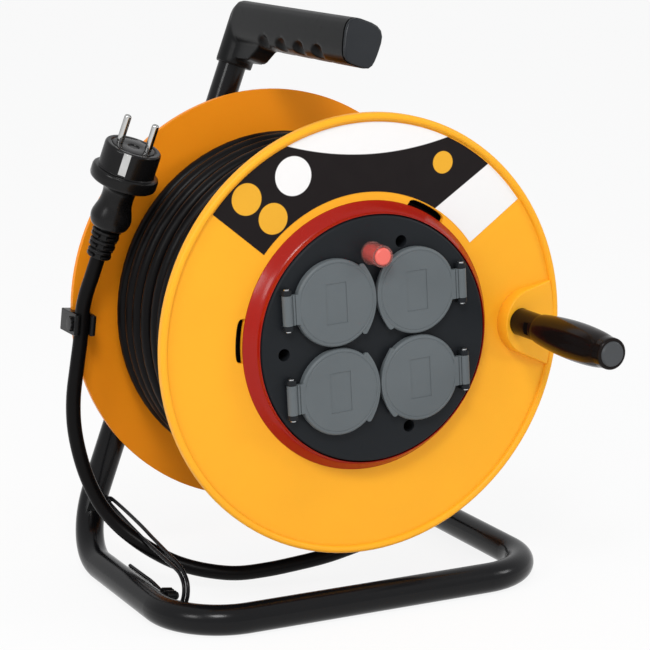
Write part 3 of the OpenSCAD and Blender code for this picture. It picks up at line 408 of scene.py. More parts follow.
@dataclass(frozen=True)
class PowderCoat(Finish):
    """Black powder coat on bent tube: a soft orange-peel skin with specks of dust."""

    colour: Colour = (0.004, 0.004, 0.0046)
    roughness: float = 0.2
    peel: float = 1.1
    gloss: float = 0.2
    dust: Colour = (0.04, 0.038, 0.036)

    def mix(self, book: Recipe) -> dict[Union[str, int], Value]:
        """Gives the main shader's inputs."""
        peel = book.cells(self.peel)
        slow = book.noise(60.0, 2.0)
        specks = book.noise(0.9, 2.0, 0.7).ramp(0.68, 0.8)
        tone = book.mixed(slow * 0.5, self.colour, toned(self.colour, 1.5))
        return {
            "Base Color": book.mixed(specks * 0.3, tone, self.dust),
            "Roughness": self.roughness + (slow - 0.5) * 0.12 + specks * 0.15,
            "Specular IOR Level": self.gloss,
            "Normal": book.relief(peel + book.noise(2.6, 2.0) * 0.6, 0.02, 0.4),
        }


@dataclass(frozen=True)
class RubberSheath(Finish):
    """Black rubber cord or moulded rubber: a dull skin with fine pits and dust in them."""

    colour: Colour = (0.0036, 0.0032, 0.0034)
    roughness: float = 0.34
    pits: float = 0.6
    depth: float = 0.02
    edge: float = 0.0
    gloss: float = 0.09

    def mix(self, book: Recipe) -> dict[Union[str, int], Value]:
        """Gives the main shader's inputs."""
        pits = book.noise(self.pits, 3.0, 0.7)
        slow = book.noise(26.0, 3.0, 0.6)
        dust = (slow * pits).ramp(0.3, 0.5)
        return {
            "Base Color": book.mixed(dust * 0.4, self.colour, toned(self.colour, 2.6)),
            "Roughness": self.roughness + (slow - 0.5) * 0.2 + dust * 0.1,
            "Specular IOR Level": self.gloss,
            "Normal": book.relief(pits, self.depth, self.edge),
        }


@dataclass(frozen=True)
class Metal(Finish):
    """Plated or bare metal with fine turning marks and clouding."""

    colour: Colour = (0.62, 0.62, 0.63)
    roughness: float = 0.25
    marks: float = 0.35
    depth: float = 0.004
    edge: float = 0.15
    rim: float = 0.25

    def mix(self, book: Recipe) -> dict[Union[str, int], Value]:
        """Gives the main shader's inputs."""
        marks = book.noise(self.marks, 4.0, 0.7, 0.8)
        cloud = book.noise(6.0, 3.0)
        return {
            "Base Color": book.mixed(cloud, toned(self.colour, 0.86), toned(self.colour, 1.06)),
            "Metallic": 1.0,
            "Roughness": self.roughness + (cloud - 0.5) * 0.16,
            "Specular Tint": (self.rim, self.rim, self.rim),
            "Normal": book.relief(marks, self.depth, self.edge),
        }


@dataclass(frozen=True)
class ClearSleeve(Finish):
    """Clear soft plastic over the red button."""

    colour: Colour = (0.93, 0.40, 0.36)

    def mix(self, book: Recipe) -> dict[Union[str, int], Value]:
        """Gives the main shader's inputs."""
        cloud = book.noise(3.0, 3.0)
        return {
            "Base Color": book.mixed(cloud, self.colour, toned(self.colour, 1.1)),
            "Roughness": 0.08 + cloud * 0.14,
            "Transmission Weight": 0.85,
            "IOR": 1.42,
            "Normal": book.relief(cloud, 0.02),
        }


@dataclass(frozen=True)
class LabelFilm(Finish):
    """Bare printed film on the flange: black, with pale fields and plain discs.

    A disc has the radius and the angle of its middle, and its own radius.
    """

    black: Colour = (0.009, 0.0065, 0.007)
    white: Colour = (0.86, 0.85, 0.84)
    yellow: Colour = (0.80, 0.40, 0.03)
    dust: Colour = (0.3, 0.28, 0.25)
    pale_disc: tuple[float, float, float] = (120.0, 116.0, 12.6)
    discs: tuple[tuple[float, float, float], ...] = (
        (127.7, 131.7, 10.2), (105.6, 129.2, 10.0), (122.8, 63.3, 7.3))
    arc_middle: float = 2.5
    arc_bow: float = 0.0024
    arc_top: float = 118.5
    band_at: tuple[float, float] = (50.1, 80.1)
    band_away: tuple[float, float] = (0.558, -0.829)
    blur: float = 0.3

    def mix(self, book: Recipe) -> dict[Union[str, int], Value]:
        """Gives the main shader's inputs."""
        x, _, z = book.split(book.place(tuple(HUB)))

        def past(edge: float, away: Wire) -> Wire:
            """Gives 0 up to an edge and 1 past it."""
            return away.ramp(edge - self.blur, edge + self.blur)

        def disc(at: float, turn: float, size: float) -> Wire:
            """Gives 1 inside a disc at a radius and an angle."""
            px, pz = at * math.cos(math.radians(turn)), at * math.sin(math.radians(turn))
            return 1 - past(size, ((x - px) ** 2 + (z - pz) ** 2) ** 0.5)

        top = past(self.arc_top, z - (x - self.arc_middle) ** 2 * self.arc_bow)
        (band_x, band_z), (across, down) = self.band_at, self.band_away
        band = past(0.0, (x - band_x) * across + (z - band_z) * down)
        tone: Value = self.black
        for field in (top, disc(*self.pale_disc), band):
            tone = book.mixed(field, tone, self.white)
        for spot in self.discs:
            tone = book.mixed(disc(*spot), tone, self.yellow)
        dust = book.noise(14.0, 4.0)
        return {
            "Base Color": book.mixed(dust * 0.012, tone, self.dust),
            "Roughness": 0.36 + dust * 0.16,
            "Specular IOR Level": 0.1,
            "Normal": book.relief(book.noise(5.0, 3.0), 0.02),
        }


BROWN_BLACK = (0.007, 0.0045, 0.004)
ORANGE = MouldedPlastic(
    "drum_orange_finish", (0.97, 0.43, 0.018), 0.38, 0.7, 0.01, 0.04, 0.05, 0.7, 0.2, glow=0.06)
# Painted shade: the rear flange is the same orange as the front one, painted darker and redder here for the
# shade it sits in.
ORANGE_PAINTED_SHADE = MouldedPlastic(
    "drum_orange_painted_shade", (0.97, 0.30, 0.009), 0.4, 0.7, 0.01, 0.05, 0.05, 0.7, 0.12, glow=0.06)
RED = MouldedPlastic(
    "housing_red_finish", (0.33, 0.009, 0.004), 0.24, 0.6, 0.01, 0.08, 0.06, 0.5, 0.16, clear=0.12)
BUTTON_RED = MouldedPlastic(
    "button_red_finish", (0.80, 0.14, 0.11), 0.25, 0.5, 0.006, 0.05, 0.04, 0.4, 0.4, clear=0.2)
PANEL = MouldedPlastic("panel_dark_finish", (0.0125, 0.0145, 0.017), 0.42, 0.45, 0.05, 0.12, 0.08, 0.4, 0.12)
INSERT = MouldedPlastic("insert_dark_finish", (0.012, 0.013, 0.015), 0.42, 0.5, 0.03, 0.1, 0.06, 0.35, 0.12)
LID = MouldedPlastic("lid_grey_finish", (0.114, 0.130, 0.138), 0.42, 0.45, 0.03, 0.1, 0.08, 0.0, 0.22)
GRIP = MouldedPlastic("grip_black_finish", (0.0065, 0.0068, 0.0072), 0.36, 0.8, 0.05, 0.2, 0.1, 0.0, 0.12)
CAP = MouldedPlastic("cap_black_finish", (0.013, 0.015, 0.018), 0.3, 0.6, 0.02, 0.1, 0.06, 0.0, 0.25)
CLAMP = MouldedPlastic("clamp_black_finish", (0.005, 0.005, 0.0055), 0.3, 0.6, 0.04, 0.15, 0.08, 0.5, 0.16)
CRANK = MouldedPlastic("crank_black_finish", BROWN_BLACK, 0.18, 0.8, 0.006, 0.15, 0.06, 0.0, 0.12)
SLEEVE = MouldedPlastic("sleeve_black_finish", BROWN_BLACK, 0.22, 0.7, 0.01, 0.15, 0.06, 0.4, 0.12)
CAP_GREY = MouldedPlastic("cap_grey_finish", (0.058, 0.062, 0.066), 0.36, 0.5, 0.02, 0.08, 0.06, 0.4, 0.25)
NYLON = MouldedPlastic("nylon_white_finish", (0.70, 0.68, 0.60), 0.45, 0.6, 0.02, 0.04, 0.05, 0.4)
PHENOLIC = MouldedPlastic("cutout_brown_finish", (0.10, 0.07, 0.05), 0.5, 0.6, 0.04, 0.1, 0.05, 0.3)
LEADS = MouldedPlastic("lead_blue_finish", (0.04, 0.10, 0.40), 0.35, 0.8, 0.01, 0.05, 0.05, 0.0)
TUBE = PowderCoat("frame_black_finish")
WIRE_COAT = PowderCoat("wire_black_finish", (0.005, 0.005, 0.006), 0.2, 0.8, 0.16)
CORD = RubberSheath("cord_black_finish")
PLUG_RUBBER = RubberSheath("plug_black_finish", (0.005, 0.0048, 0.005), 0.24, 0.5, 0.01, 0.3, 0.22)
STEEL = Metal("steel_finish", (0.60, 0.61, 0.62), 0.3)
NICKEL = Metal("pin_nickel_finish", (0.62, 0.62, 0.61), 0.14, 0.3, 0.002)
BLACKENED = Metal("screw_dark_finish", (0.05, 0.05, 0.05), 0.4)
BRASS = Metal("brass_finish", (0.72, 0.50, 0.20), 0.28)
SLEEVE_CLEAR = ClearSleeve("sleeve_clear_finish")
LABEL = LabelFilm("label_black_finish")

BY_SLOT: dict[str, Finish] = {finish.slot: finish for finish in (
    ORANGE, RED, BUTTON_RED, PANEL, INSERT, LID, GRIP, CAP, CLAMP, CRANK, SLEEVE, CAP_GREY, NYLON, PHENOLIC,
    LEADS, TUBE, WIRE_COAT, CORD, PLUG_RUBBER, STEEL, NICKEL, BLACKENED, BRASS, SLEEVE_CLEAR, LABEL)}


# ---------------------------------------------------------------- the bench


class Shape:
    """A mesh piece on the bench, started from a primitive and shaped with operators."""

    def __init__(self, body: bpy.types.Object, name: str) -> None:
        """Takes an object onto the bench and names it."""
        self.body = body
        body.name = name
        body.data.name = name

    @staticmethod
    def clear_bench() -> None:
        """Leaves edit mode and deselects everything."""
        if bpy.context.object is not None and bpy.context.object.mode != "OBJECT":
            bpy.ops.object.mode_set(mode="OBJECT")
        bpy.ops.object.select_all(action="DESELECT")

    @classmethod
    def turned(cls, name: str, profile: Profile, sides: int = 96, hollow: bool = False) -> "Shape":
        """Turns a profile about +Z, ring by ring.

        Args:
            name: The piece's name.
            profile: Radius and height of each ring in millimetres; no radius is 0.
            sides: Sides of each ring.
            hollow: Whether the last ring joins the first, round a bore.

        Returns:
            The turned shape.
        """
        cls.clear_bench()
        radius, height = profile[0]
        bpy.ops.mesh.primitive_circle_add(vertices=sides, radius=radius * MM, location=(0, 0, height * MM))
        shape = cls(bpy.context.object, name)
        bpy.ops.object.transform_apply()
        bpy.ops.object.mode_set(mode="EDIT")
        bpy.ops.mesh.select_mode(type="VERT")
        bpy.ops.mesh.select_all(action="SELECT")
        for (r0, h0), (r1, h1) in zip(profile, profile[1:]):
            bpy.ops.mesh.extrude_region_move(TRANSFORM_OT_translate={"value": (0, 0, (h1 - h0) * MM)})
            bpy.ops.transform.resize(value=(r1 / r0, r1 / r0, 1), center_override=(0, 0, h1 * MM))
        if hollow:
            bpy.ops.mesh.select_all(action="DESELECT")
            bpy.ops.mesh.select_non_manifold()
            bpy.ops.mesh.bridge_edge_loops()
        else:
            bpy.ops.mesh.edge_face_add()
            bpy.ops.mesh.select_all(action="DESELECT")
            bpy.ops.mesh.select_non_manifold()
            bpy.ops.mesh.edge_face_add()
        return shape.faced_out()

    @classmethod
    def grouped(cls, name: str, parts: Sequence["Shape"]) -> "Shape":
        """Joins parts into one piece of that name."""
        return cls(parts[0].joined(parts[1:]).body, name)

    @classmethod
    def block(cls, name: str, low: Place, high: Place) -> "Shape":
        """Adds a box between two corners in millimetres."""
        cls.clear_bench()
        middle = [(a + b) / 2 * MM for a, b in zip(low, high)]
        sides = [(b - a) * MM for a, b in zip(low, high)]
        bpy.ops.mesh.primitive_cube_add(size=1, location=middle, scale=sides)
        bpy.ops.object.transform_apply()
        return cls(bpy.context.object, name)

    @classmethod
    def sheet(cls, name: str, outline: Sequence[tuple[float, float]], low: float, high: float) -> "Shape":
        """Raises a flat outline into a plate.

        Args:
            name: The piece's name.
            outline: Corners in millimetres, in order.
            low: Height of its underside.
            high: Height of its top.

        Returns:
            The plate.
        """
        cls.clear_bench()
        bpy.ops.mesh.primitive_circle_add(vertices=len(outline), radius=MM, fill_type="NGON")
        shape = cls(bpy.context.object, name)
        for corner, (x, y) in zip(shape.body.data.vertices, outline):
            corner.co = (x * MM, y * MM, low * MM)
        bpy.ops.object.mode_set(mode="EDIT")
        bpy.ops.mesh.select_all(action="SELECT")
        bpy.ops.mesh.extrude_region_move(TRANSFORM_OT_translate={"value": (0, 0, (high - low) * MM)})
        return shape.faced_out()

    @classmethod
    def copied(cls, name: str, *nodes: str) -> "Shape":
        """Takes a merged copy of solids.

        Args:
            name: The piece's name.
            nodes: The solids' names.

        Returns:
            One shape with its doubles merged.
        """
        cls.clear_bench()
        for node in nodes:
            twin = frame["nodes"][node].copy()
            twin.data = twin.data.copy()
            twin.parent = None
            for key in list(twin.keys()):
                del twin[key]
            twin.modifiers.clear()
            bpy.context.scene.collection.objects.link(twin)
            twin.hide_set(False)
            twin.select_set(True)
            bpy.context.view_layer.objects.active = twin
        bpy.ops.object.join()
        shape = cls(bpy.context.object, name)
        if shape.body.data.has_custom_normals:
            bpy.ops.mesh.customdata_custom_splitnormals_clear()
        bpy.ops.object.mode_set(mode="EDIT")
        bpy.ops.mesh.select_all(action="SELECT")
        bpy.ops.mesh.remove_doubles(threshold=1e-6)
        bpy.ops.object.mode_set(mode="OBJECT")
        return shape

    def take(self) -> "Shape":
        """Makes the piece the only selected one."""
        self.clear_bench()
        self.body.select_set(True)
        bpy.context.view_layer.objects.active = self.body
        return self

    def faced_out(self) -> "Shape":
        """Merges doubles and turns every face outwards."""
        self.take()
        bpy.ops.object.mode_set(mode="EDIT")
        bpy.ops.mesh.select_all(action="SELECT")
        bpy.ops.mesh.remove_doubles(threshold=1e-7)
        bpy.ops.mesh.normals_make_consistent(inside=False)
        bpy.ops.object.mode_set(mode="OBJECT")
        return self

    def pick(self, test: Callable[[Vector], bool]) -> None:
        """Selects faces in edit mode.

        Args:
            test: Says of a face's normal whether the face is picked.
        """
        self.take()
        bpy.ops.object.mode_set(mode="EDIT")
        bpy.ops.mesh.select_mode(type="FACE")
        bpy.ops.mesh.select_all(action="DESELECT")
        grid = bmesh.from_edit_mesh(self.body.data)
        for face in grid.faces:
            if test(face.normal):
                face.select_set(True)
        bmesh.update_edit_mesh(self.body.data)

    def moved(self, matrix: Matrix) -> "Shape":
        """Moves the piece and applies its place."""
        self.take()
        self.body.matrix_world = matrix @ self.body.matrix_world
        bpy.context.view_layer.update()
        bpy.ops.object.transform_apply()
        return self

    def worked(self, kind: str, **settings: Any) -> "Shape":
        """Adds a modifier and applies it.

        Args:
            kind: The modifier's type.
            settings: Its settings.

        Returns:
            The shape.
        """
        self.take()
        bpy.ops.object.modifier_add(type=kind)
        modifier = self.body.modifiers[-1]
        for key, value in settings.items():
            setattr(modifier, key, value)
        bpy.ops.object.modifier_apply(modifier=modifier.name)
        return self

    def carve(self, tool: "Shape", how: Meet = Meet.CUT) -> "Shape":
        """Cuts with another shape, or welds it on, and puts that shape away.

        Args:
            tool: The other shape.
            how: Whether the other shape cuts or is welded on.

        Returns:
            The shape.
        """
        self.worked("BOOLEAN", operation=how.value, object=tool.body, solver="EXACT")
        bpy.data.objects.remove(tool.body)
        return self

    def joined(self, others: Iterable["Shape"]) -> "Shape":
        """Joins other shapes into this one."""
        self.take()
        for other in others:
            other.body.select_set(True)
        bpy.ops.object.join()
        return self

    def eased(self, width: float, steps: int = 2, angle: float = 35.0) -> "Shape":
        """Rounds its sharp edges by a width in millimetres."""
        return self.worked(
            "BEVEL", width=width * MM, segments=steps, limit_method="ANGLE",
            angle_limit=math.radians(angle), use_clamp_overlap=True,
        )

    def smoothed(self, angle: float = 35.0) -> "Shape":
        """Shades it smooth up to an angle."""
        self.take()
        bpy.ops.object.shade_smooth_by_angle(angle=math.radians(angle))
        return self

    def evened(self, angle: float = 35.0) -> "Shape":
        """Shades it smooth up to an angle and keeps its flat faces flat."""
        return self.smoothed(angle).worked("WEIGHTED_NORMAL", keep_sharp=True)

    def halved(self, point: Place, normal: Place) -> "Shape":
        """Cuts off what lies beyond a plane and closes the cut.

        Args:
            point: A point of the plane in millimetres.
            normal: The side that goes.

        Returns:
            The shape.
        """
        self.take()
        bpy.ops.object.mode_set(mode="EDIT")
        bpy.ops.mesh.select_all(action="SELECT")
        bpy.ops.mesh.bisect(plane_co=Vector(point) * MM, plane_no=normal, use_fill=True, clear_outer=True)
        bpy.ops.object.mode_set(mode="OBJECT")
        return self

    def melted(self, voxel: float, passes: int) -> "Shape":
        """Runs its parts into one skin with soft edges.

        Args:
            voxel: Size of the skin's mesh in millimetres.
            passes: Rounds of smoothing.

        Returns:
            The shape.
        """
        self.worked("REMESH", mode="VOXEL", voxel_size=voxel * MM, use_smooth_shade=True)
        return self.worked("SMOOTH", factor=0.5, iterations=passes)

    def twin(self, name: str) -> "Shape":
        """Copies the piece with its own mesh."""
        body = self.body.copy()
        body.data = body.data.copy()
        bpy.context.scene.collection.objects.link(body)
        return Shape(body, name)

    def dressed(self, finish: Finish, body: str, *replaces: str) -> bpy.types.Object:
        """Finishes the piece.

        Args:
            finish: Its finish.
            body: The body that it rides on.
            replaces: The solids that it stands for.

        Returns:
            The finished object.
        """
        self.clear_bench()
        return settle(self.body, finish, body, *replaces)


def settle(piece: bpy.types.Object, finish: Finish, body: str, *replaces: str) -> bpy.types.Object:
    """Gives a piece its finish, its body and the solids that it stands for.

    Args:
        piece: The piece, with its shape done.
        finish: Its finish, which is that of its material slot in the record.
        body: The body that it rides on.
        replaces: The solids that it stands for.

    Returns:
        The same object.
    """
    finish.coat(piece)
    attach(piece, body)
    if replaces:
        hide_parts(*replaces)
    LOG.info("%s rides on %s", piece.name, body)
    return piece


def strand(name: str, points: Sequence[Vector], radius: float, sides: int = 12) -> bpy.types.Object:
    """Lays a round strand along points.

    Args:
        name: The strand's name.
        points: Its centreline in millimetres in the floor frame.
        radius: Its radius in millimetres.
        sides: Sides of its section, even.

    Returns:
        The curve object, with closed ends.
    """
    data = bpy.data.curves.new(name, "CURVE")
    data.dimensions = "3D"
    data.bevel_depth = radius * MM
    data.bevel_resolution = sides // 2 - 2
    data.use_fill_caps = True
    spline = data.splines.new("POLY")
    spline.points.add(len(points) - 1)
    for knot, point in zip(spline.points, points):
        knot.co = (*(point * MM), 1.0)
    spline.use_smooth = True
    piece = bpy.data.objects.new(name, data)
    bpy.context.scene.collection.objects.link(piece)
    return piece


def as_mesh(piece: bpy.types.Object) -> Shape:
    """Turns a strand into a mesh piece."""
    Shape.clear_bench()
    piece.select_set(True)
    bpy.context.view_layer.objects.active = piece
    bpy.ops.object.convert(target="MESH")
    return Shape(bpy.context.object, piece.name).faced_out()


# ---------------------------------------------------------------- the studio


@dataclass
class Studio:
    """Camera, floor and soft light.

    The camera's turns are in radians and the hub's place before it in millimetres. A lamp has its name,
    its place, the point that it faces and its side in metres, and its power in watts.
    """

    heading: float = 0.4691
    dip: float = 0.2116
    hub_seen_at: Place = (28.2674, -7.6416, 1486.1532)
    lens: float = 127.46
    sensor: float = 36.0
    sight: float = 100.0
    floor_side: float = 30.0
    floor_tones: tuple[Colour, Colour] = ((0.88, 0.88, 0.88), (0.92, 0.92, 0.92))
    floor_mottle: float = 420.0
    floor_white: float = 0.88
    sky_tone: Colour = (0.97, 0.98, 1.0)
    sky_light: float = 0.6
    sky_in_gloss: float = 0.4
    lamps: tuple[tuple[str, Place, Place, float, float], ...] = (
        ("key", (-0.9, -1.5, 1.9), (0.0, 0.0, 0.18), 0.6, 23.8),
        ("side", (1.5, -1.0, 1.0), (0.0, 0.0, 0.18), 0.4, 6.2),
        ("left", (-1.7, -0.7, 1.2), (-0.05, 0.0, 0.2), 0.5, 8.0),
    )

    def axes(self) -> tuple[Vector, Vector, Vector]:
        """Gives the camera's right, its up and the way it looks."""
        right = Vector((math.cos(self.heading), -math.sin(self.heading), 0.0))
        level = Vector((math.sin(self.heading), math.cos(self.heading), 0.0))
        ahead = level * math.cos(self.dip) - Vector((0.0, 0.0, math.sin(self.dip)))
        return right, right.cross(ahead), ahead

    def camera(self) -> None:
        """Sets the camera in its place."""
        data = bpy.data.cameras.new("camera")
        data.lens = self.lens
        data.sensor_width = self.sensor
        data.clip_end = self.sight
        camera = bpy.data.objects.new("camera", data)
        bpy.context.scene.collection.objects.link(camera)
        right, up, ahead = self.axes()
        aside, above, away = self.hub_seen_at
        at = (HUB - right * aside - up * above - ahead * away) * MM
        camera.matrix_world = Matrix((*zip(right, up, -ahead, at), (0, 0, 0, 1)))
        bpy.context.scene.camera = camera

    def floor(self) -> None:
        """Lays a plain pale floor."""
        Shape.clear_bench()
        bpy.ops.mesh.primitive_plane_add(size=self.floor_side)
        floor = bpy.context.object
        floor.name = "floor"
        book = Recipe(bpy.data.materials.new("floor_finish"))
        path = book.node("ShaderNodeLightPath")
        seen = book.out(path, "Is Camera Ray").either(book.out(path, "Is Glossy Ray"))
        seen = seen.either(book.out(path, "Is Transmission Ray"))
        tone = book.mixed(book.noise(self.floor_mottle, 3.0), *self.floor_tones)
        plain = book.node("ShaderNodeBsdfDiffuse", None, {"Color": tone})
        white = book.node("ShaderNodeEmission", None, {"Color": (1.0, 1.0, 1.0), "Strength": 1.0})
        both = book.node("ShaderNodeMixShader", None, {
            0: seen * self.floor_white, 1: book.out(plain), 2: book.out(white)})
        book.node("ShaderNodeOutputMaterial", None, {"Surface": book.out(both)})
        floor.data.materials.append(book.owner)

    def sky(self) -> None:
        """Lights the scene evenly and shows white behind it."""
        bpy.context.scene.world = bpy.data.worlds.new("sky")
        book = Recipe(bpy.context.scene.world)
        path = book.node("ShaderNodeLightPath")
        seen = book.out(path, "Is Camera Ray").either(book.out(path, "Is Transmission Ray"))
        seen = seen.either(book.out(path, "Is Glossy Ray") * self.sky_in_gloss)
        dim = book.node("ShaderNodeBackground", None, {"Color": self.sky_tone, "Strength": self.sky_light})
        white = book.node("ShaderNodeBackground", None, {"Color": (1.0, 1.0, 1.0), "Strength": 1.0})
        both = book.node("ShaderNodeMixShader", None, {0: seen, 1: book.out(dim), 2: book.out(white)})
        book.node("ShaderNodeOutputWorld", None, {"Surface": book.out(both)})

    def lamp(self, name: str, at: Place, aim: Place, side: float, power: float) -> None:
        """Hangs a square lamp.

        Args:
            name: Its name.
            at: Its place in metres.
            aim: The point that it faces.
            side: Its side in metres.
            power: Its power in watts.
        """
        data = bpy.data.lights.new(name, "AREA")
        data.size = side
        data.energy = power
        lamp = bpy.data.objects.new(name, data)
        bpy.context.scene.collection.objects.link(lamp)
        lamp.location = at
        lamp.rotation_euler = (Vector(aim) - Vector(at)).to_track_quat("-Z", "Y").to_euler()

    def set_up(self) -> None:
        """Makes the camera, the floor and the lights."""
        bpy.context.scene.view_settings.view_transform = "Standard"
        self.camera()
        self.floor()
        self.sky()
        for lamp in self.lamps:
            self.lamp(*lamp)


# ---------------------------------------------------------------- the cord


@dataclass
class LooseCord:
    """The cord's free end, from the winding under the drum and up through the clip to the plug."""

    diameter: float = 10.0
    sides: int = 20
    steps: int = 6
    route: tuple[Place, ...] = (
        (79, -34, 97), (71, -33, 79), (62, -28, 62), (50, -19, 48), (35, -10, 38), (18, -1, 30),
        (0, 7, 23), (-19, 15, 18), (-38, 23, 14), (-57, 31, 12), (-75, 40, 14), (-90, 50, 18),
        (-102, 60, 24), (-113, 70, 32), (-123, 79, 42), (-132, 86, 55), (-139, 91, 72),
        (-144, 94, 91), (-147, 95, 111), (-147, 95, 131), (-144, 95, 152), (-141, 95, 171),
        (-139, 95, 190), (-136.9, 92.8, 202.2), (-134.1, 88.8, 214.5), (-131.1, 84.8, 227.5),
    )

    def lay(self, on_cord: Sequence[bpy.types.Object]) -> None:
        line = along_curve(self.route, self.steps)
        cord = strand("cord_free", line, self.diameter / 2, self.sides)
        length = sum((b - a).length for a, b in zip(line, line[1:])) * MM
        settle(cord, CORD, "stand", "free_cord")
        tuple(line[0] * MM)
        LOG.info("free cord %.0f mm", length / MM)


@dataclass
class Winding:
    """The cord on the drum: two inner layers, an outer one of separate turns and loose turns on top.

    A layer's play is the room that its strand leaves to the next one. Each wave of the loose turns has
    its height in millimetres, its radians for each turn and its start in radians.
    """

    cord_r: float = 5.0
    radius: float = 105.0
    turns: int = 13
    front: float = 11.5
    rear: float = 148.5
    layer_step: float = 8.66
    climb: float = 60.0
    rings: int = 72
    play: float = 0.02
    lead_from: Place = LooseCord.route[0]
    lead_steps: int = 5
    lead_share: float = 0.995
    inner_drops: tuple[float, float] = (10.05, 17.4)
    inner_start: float = 40.0
    inner_rings: int = 48
    inner_play: float = 0.05
    loose_turns: float = 9.0
    loose_start: float = -22.0
    loose_front: float = 18.0
    loose_inset: float = 22.0
    loose_rise: float = 8.7
    dive: float = 17.0
    dive_turns: float = 0.22
    wander: tuple[Place, ...] = ((1.5, 2.1, 0.6), (0.9, 6.283 * 1.11, 0.0))
    bob: Place = (0.35, 3.7, 0.0)

    def start_angle(self) -> float:
        """Gives the angle in degrees at which the lead leaves the drum."""
        end = Vector(self.lead_from) - HUB
        reach = math.hypot(end.x, end.z)
        return math.degrees(math.atan2(end.z, end.x)) + math.degrees(math.acos(self.radius / reach))

    def at(self, radius: float, angle: float, depth: float) -> Vector:
        """Gives a point on the drum from its radius, angle in degrees and depth."""
        a = math.radians(angle)
        return HUB + Vector((radius * math.cos(a), depth, radius * math.sin(a)))

    def outer(self) -> None:
        """Winds the outer layer, its lead and its dive into the inner layers."""
        start = self.start_angle()
        first, last = self.at(self.radius, start, self.front), Vector(self.lead_from)
        shares = [k / self.lead_steps * self.lead_share for k in range(self.lead_steps, 0, -1)]
        lead = [first.lerp(last, share) for share in shares]
        sweep = self.turns * 360.0
        steps = self.turns * self.rings
        loops = []
        for k in range(steps + 1):
            s = sweep * k / steps
            drop = min(1.0, max(0.0, (s - sweep + self.climb) / self.climb))
            depth = self.front + (self.rear - self.front) * s / sweep
            loops.append(self.at(self.radius - self.layer_step * drop, start + s, depth))
        piece = as_mesh(strand("winding_outer", [*lead, *loops], self.cord_r - self.play, 16))
        piece.smoothed(60).dressed(CORD, "drum", "cable_winding")

    def inner(self) -> None:
        """Winds the two layers under it, the other way round and back."""
        layers = []
        for number, (hand, drop) in enumerate(zip((-1, 1), self.inner_drops)):
            turns, front = self.turns - 0.5 - number * 0.2, self.front + 1.5 * number
            steps = int(turns * self.inner_rings)
            run = self.rear - front - 3
            line = [
                self.at(
                    self.radius - drop, self.inner_start + hand * 360 * turns * k / steps,
                    front + run * k / steps)
                for k in range(steps + 1)
            ]
            layers.append(as_mesh(strand(f"winding_layer_{number}", line, self.cord_r - self.inner_play, 12)))
        Shape.grouped("winding_inner", layers).smoothed(60).dressed(CORD, "drum", "winding_core")

    def loose(self) -> None:
        """Lays the last turns, which wander on the layer under them and dive into it at both ends."""

        def wave(turn: float, height: float, pace: float, start: float) -> float:
            """Gives a wave's height at a turn."""
            return height * math.sin(pace * turn + start)

        steps = int(self.loose_turns * self.rings)
        line = []
        for k in range(steps + 1):
            turn = self.loose_turns * k / steps
            risen = min(1.0, min(turn, self.loose_turns - turn) / self.dive_turns)
            radius = self.radius + self.loose_rise - self.dive * (1 - risen) ** 2
            depth = self.loose_front + (self.rear - self.loose_inset) * turn / self.loose_turns
            line.append(self.at(
                radius + wave(turn, *self.bob), self.loose_start + 360 * turn,
                depth + sum(wave(turn, *row) for row in self.wander)))
        piece = as_mesh(strand("winding_loose", line, self.cord_r - self.play, 16))
        piece.smoothed(60).dressed(CORD, "drum", "cable_winding")

    def build(self) -> None:
        """Winds all layers."""
        self.outer()
        self.inner()
        self.loose()


# ---------------------------------------------------------------- the plug


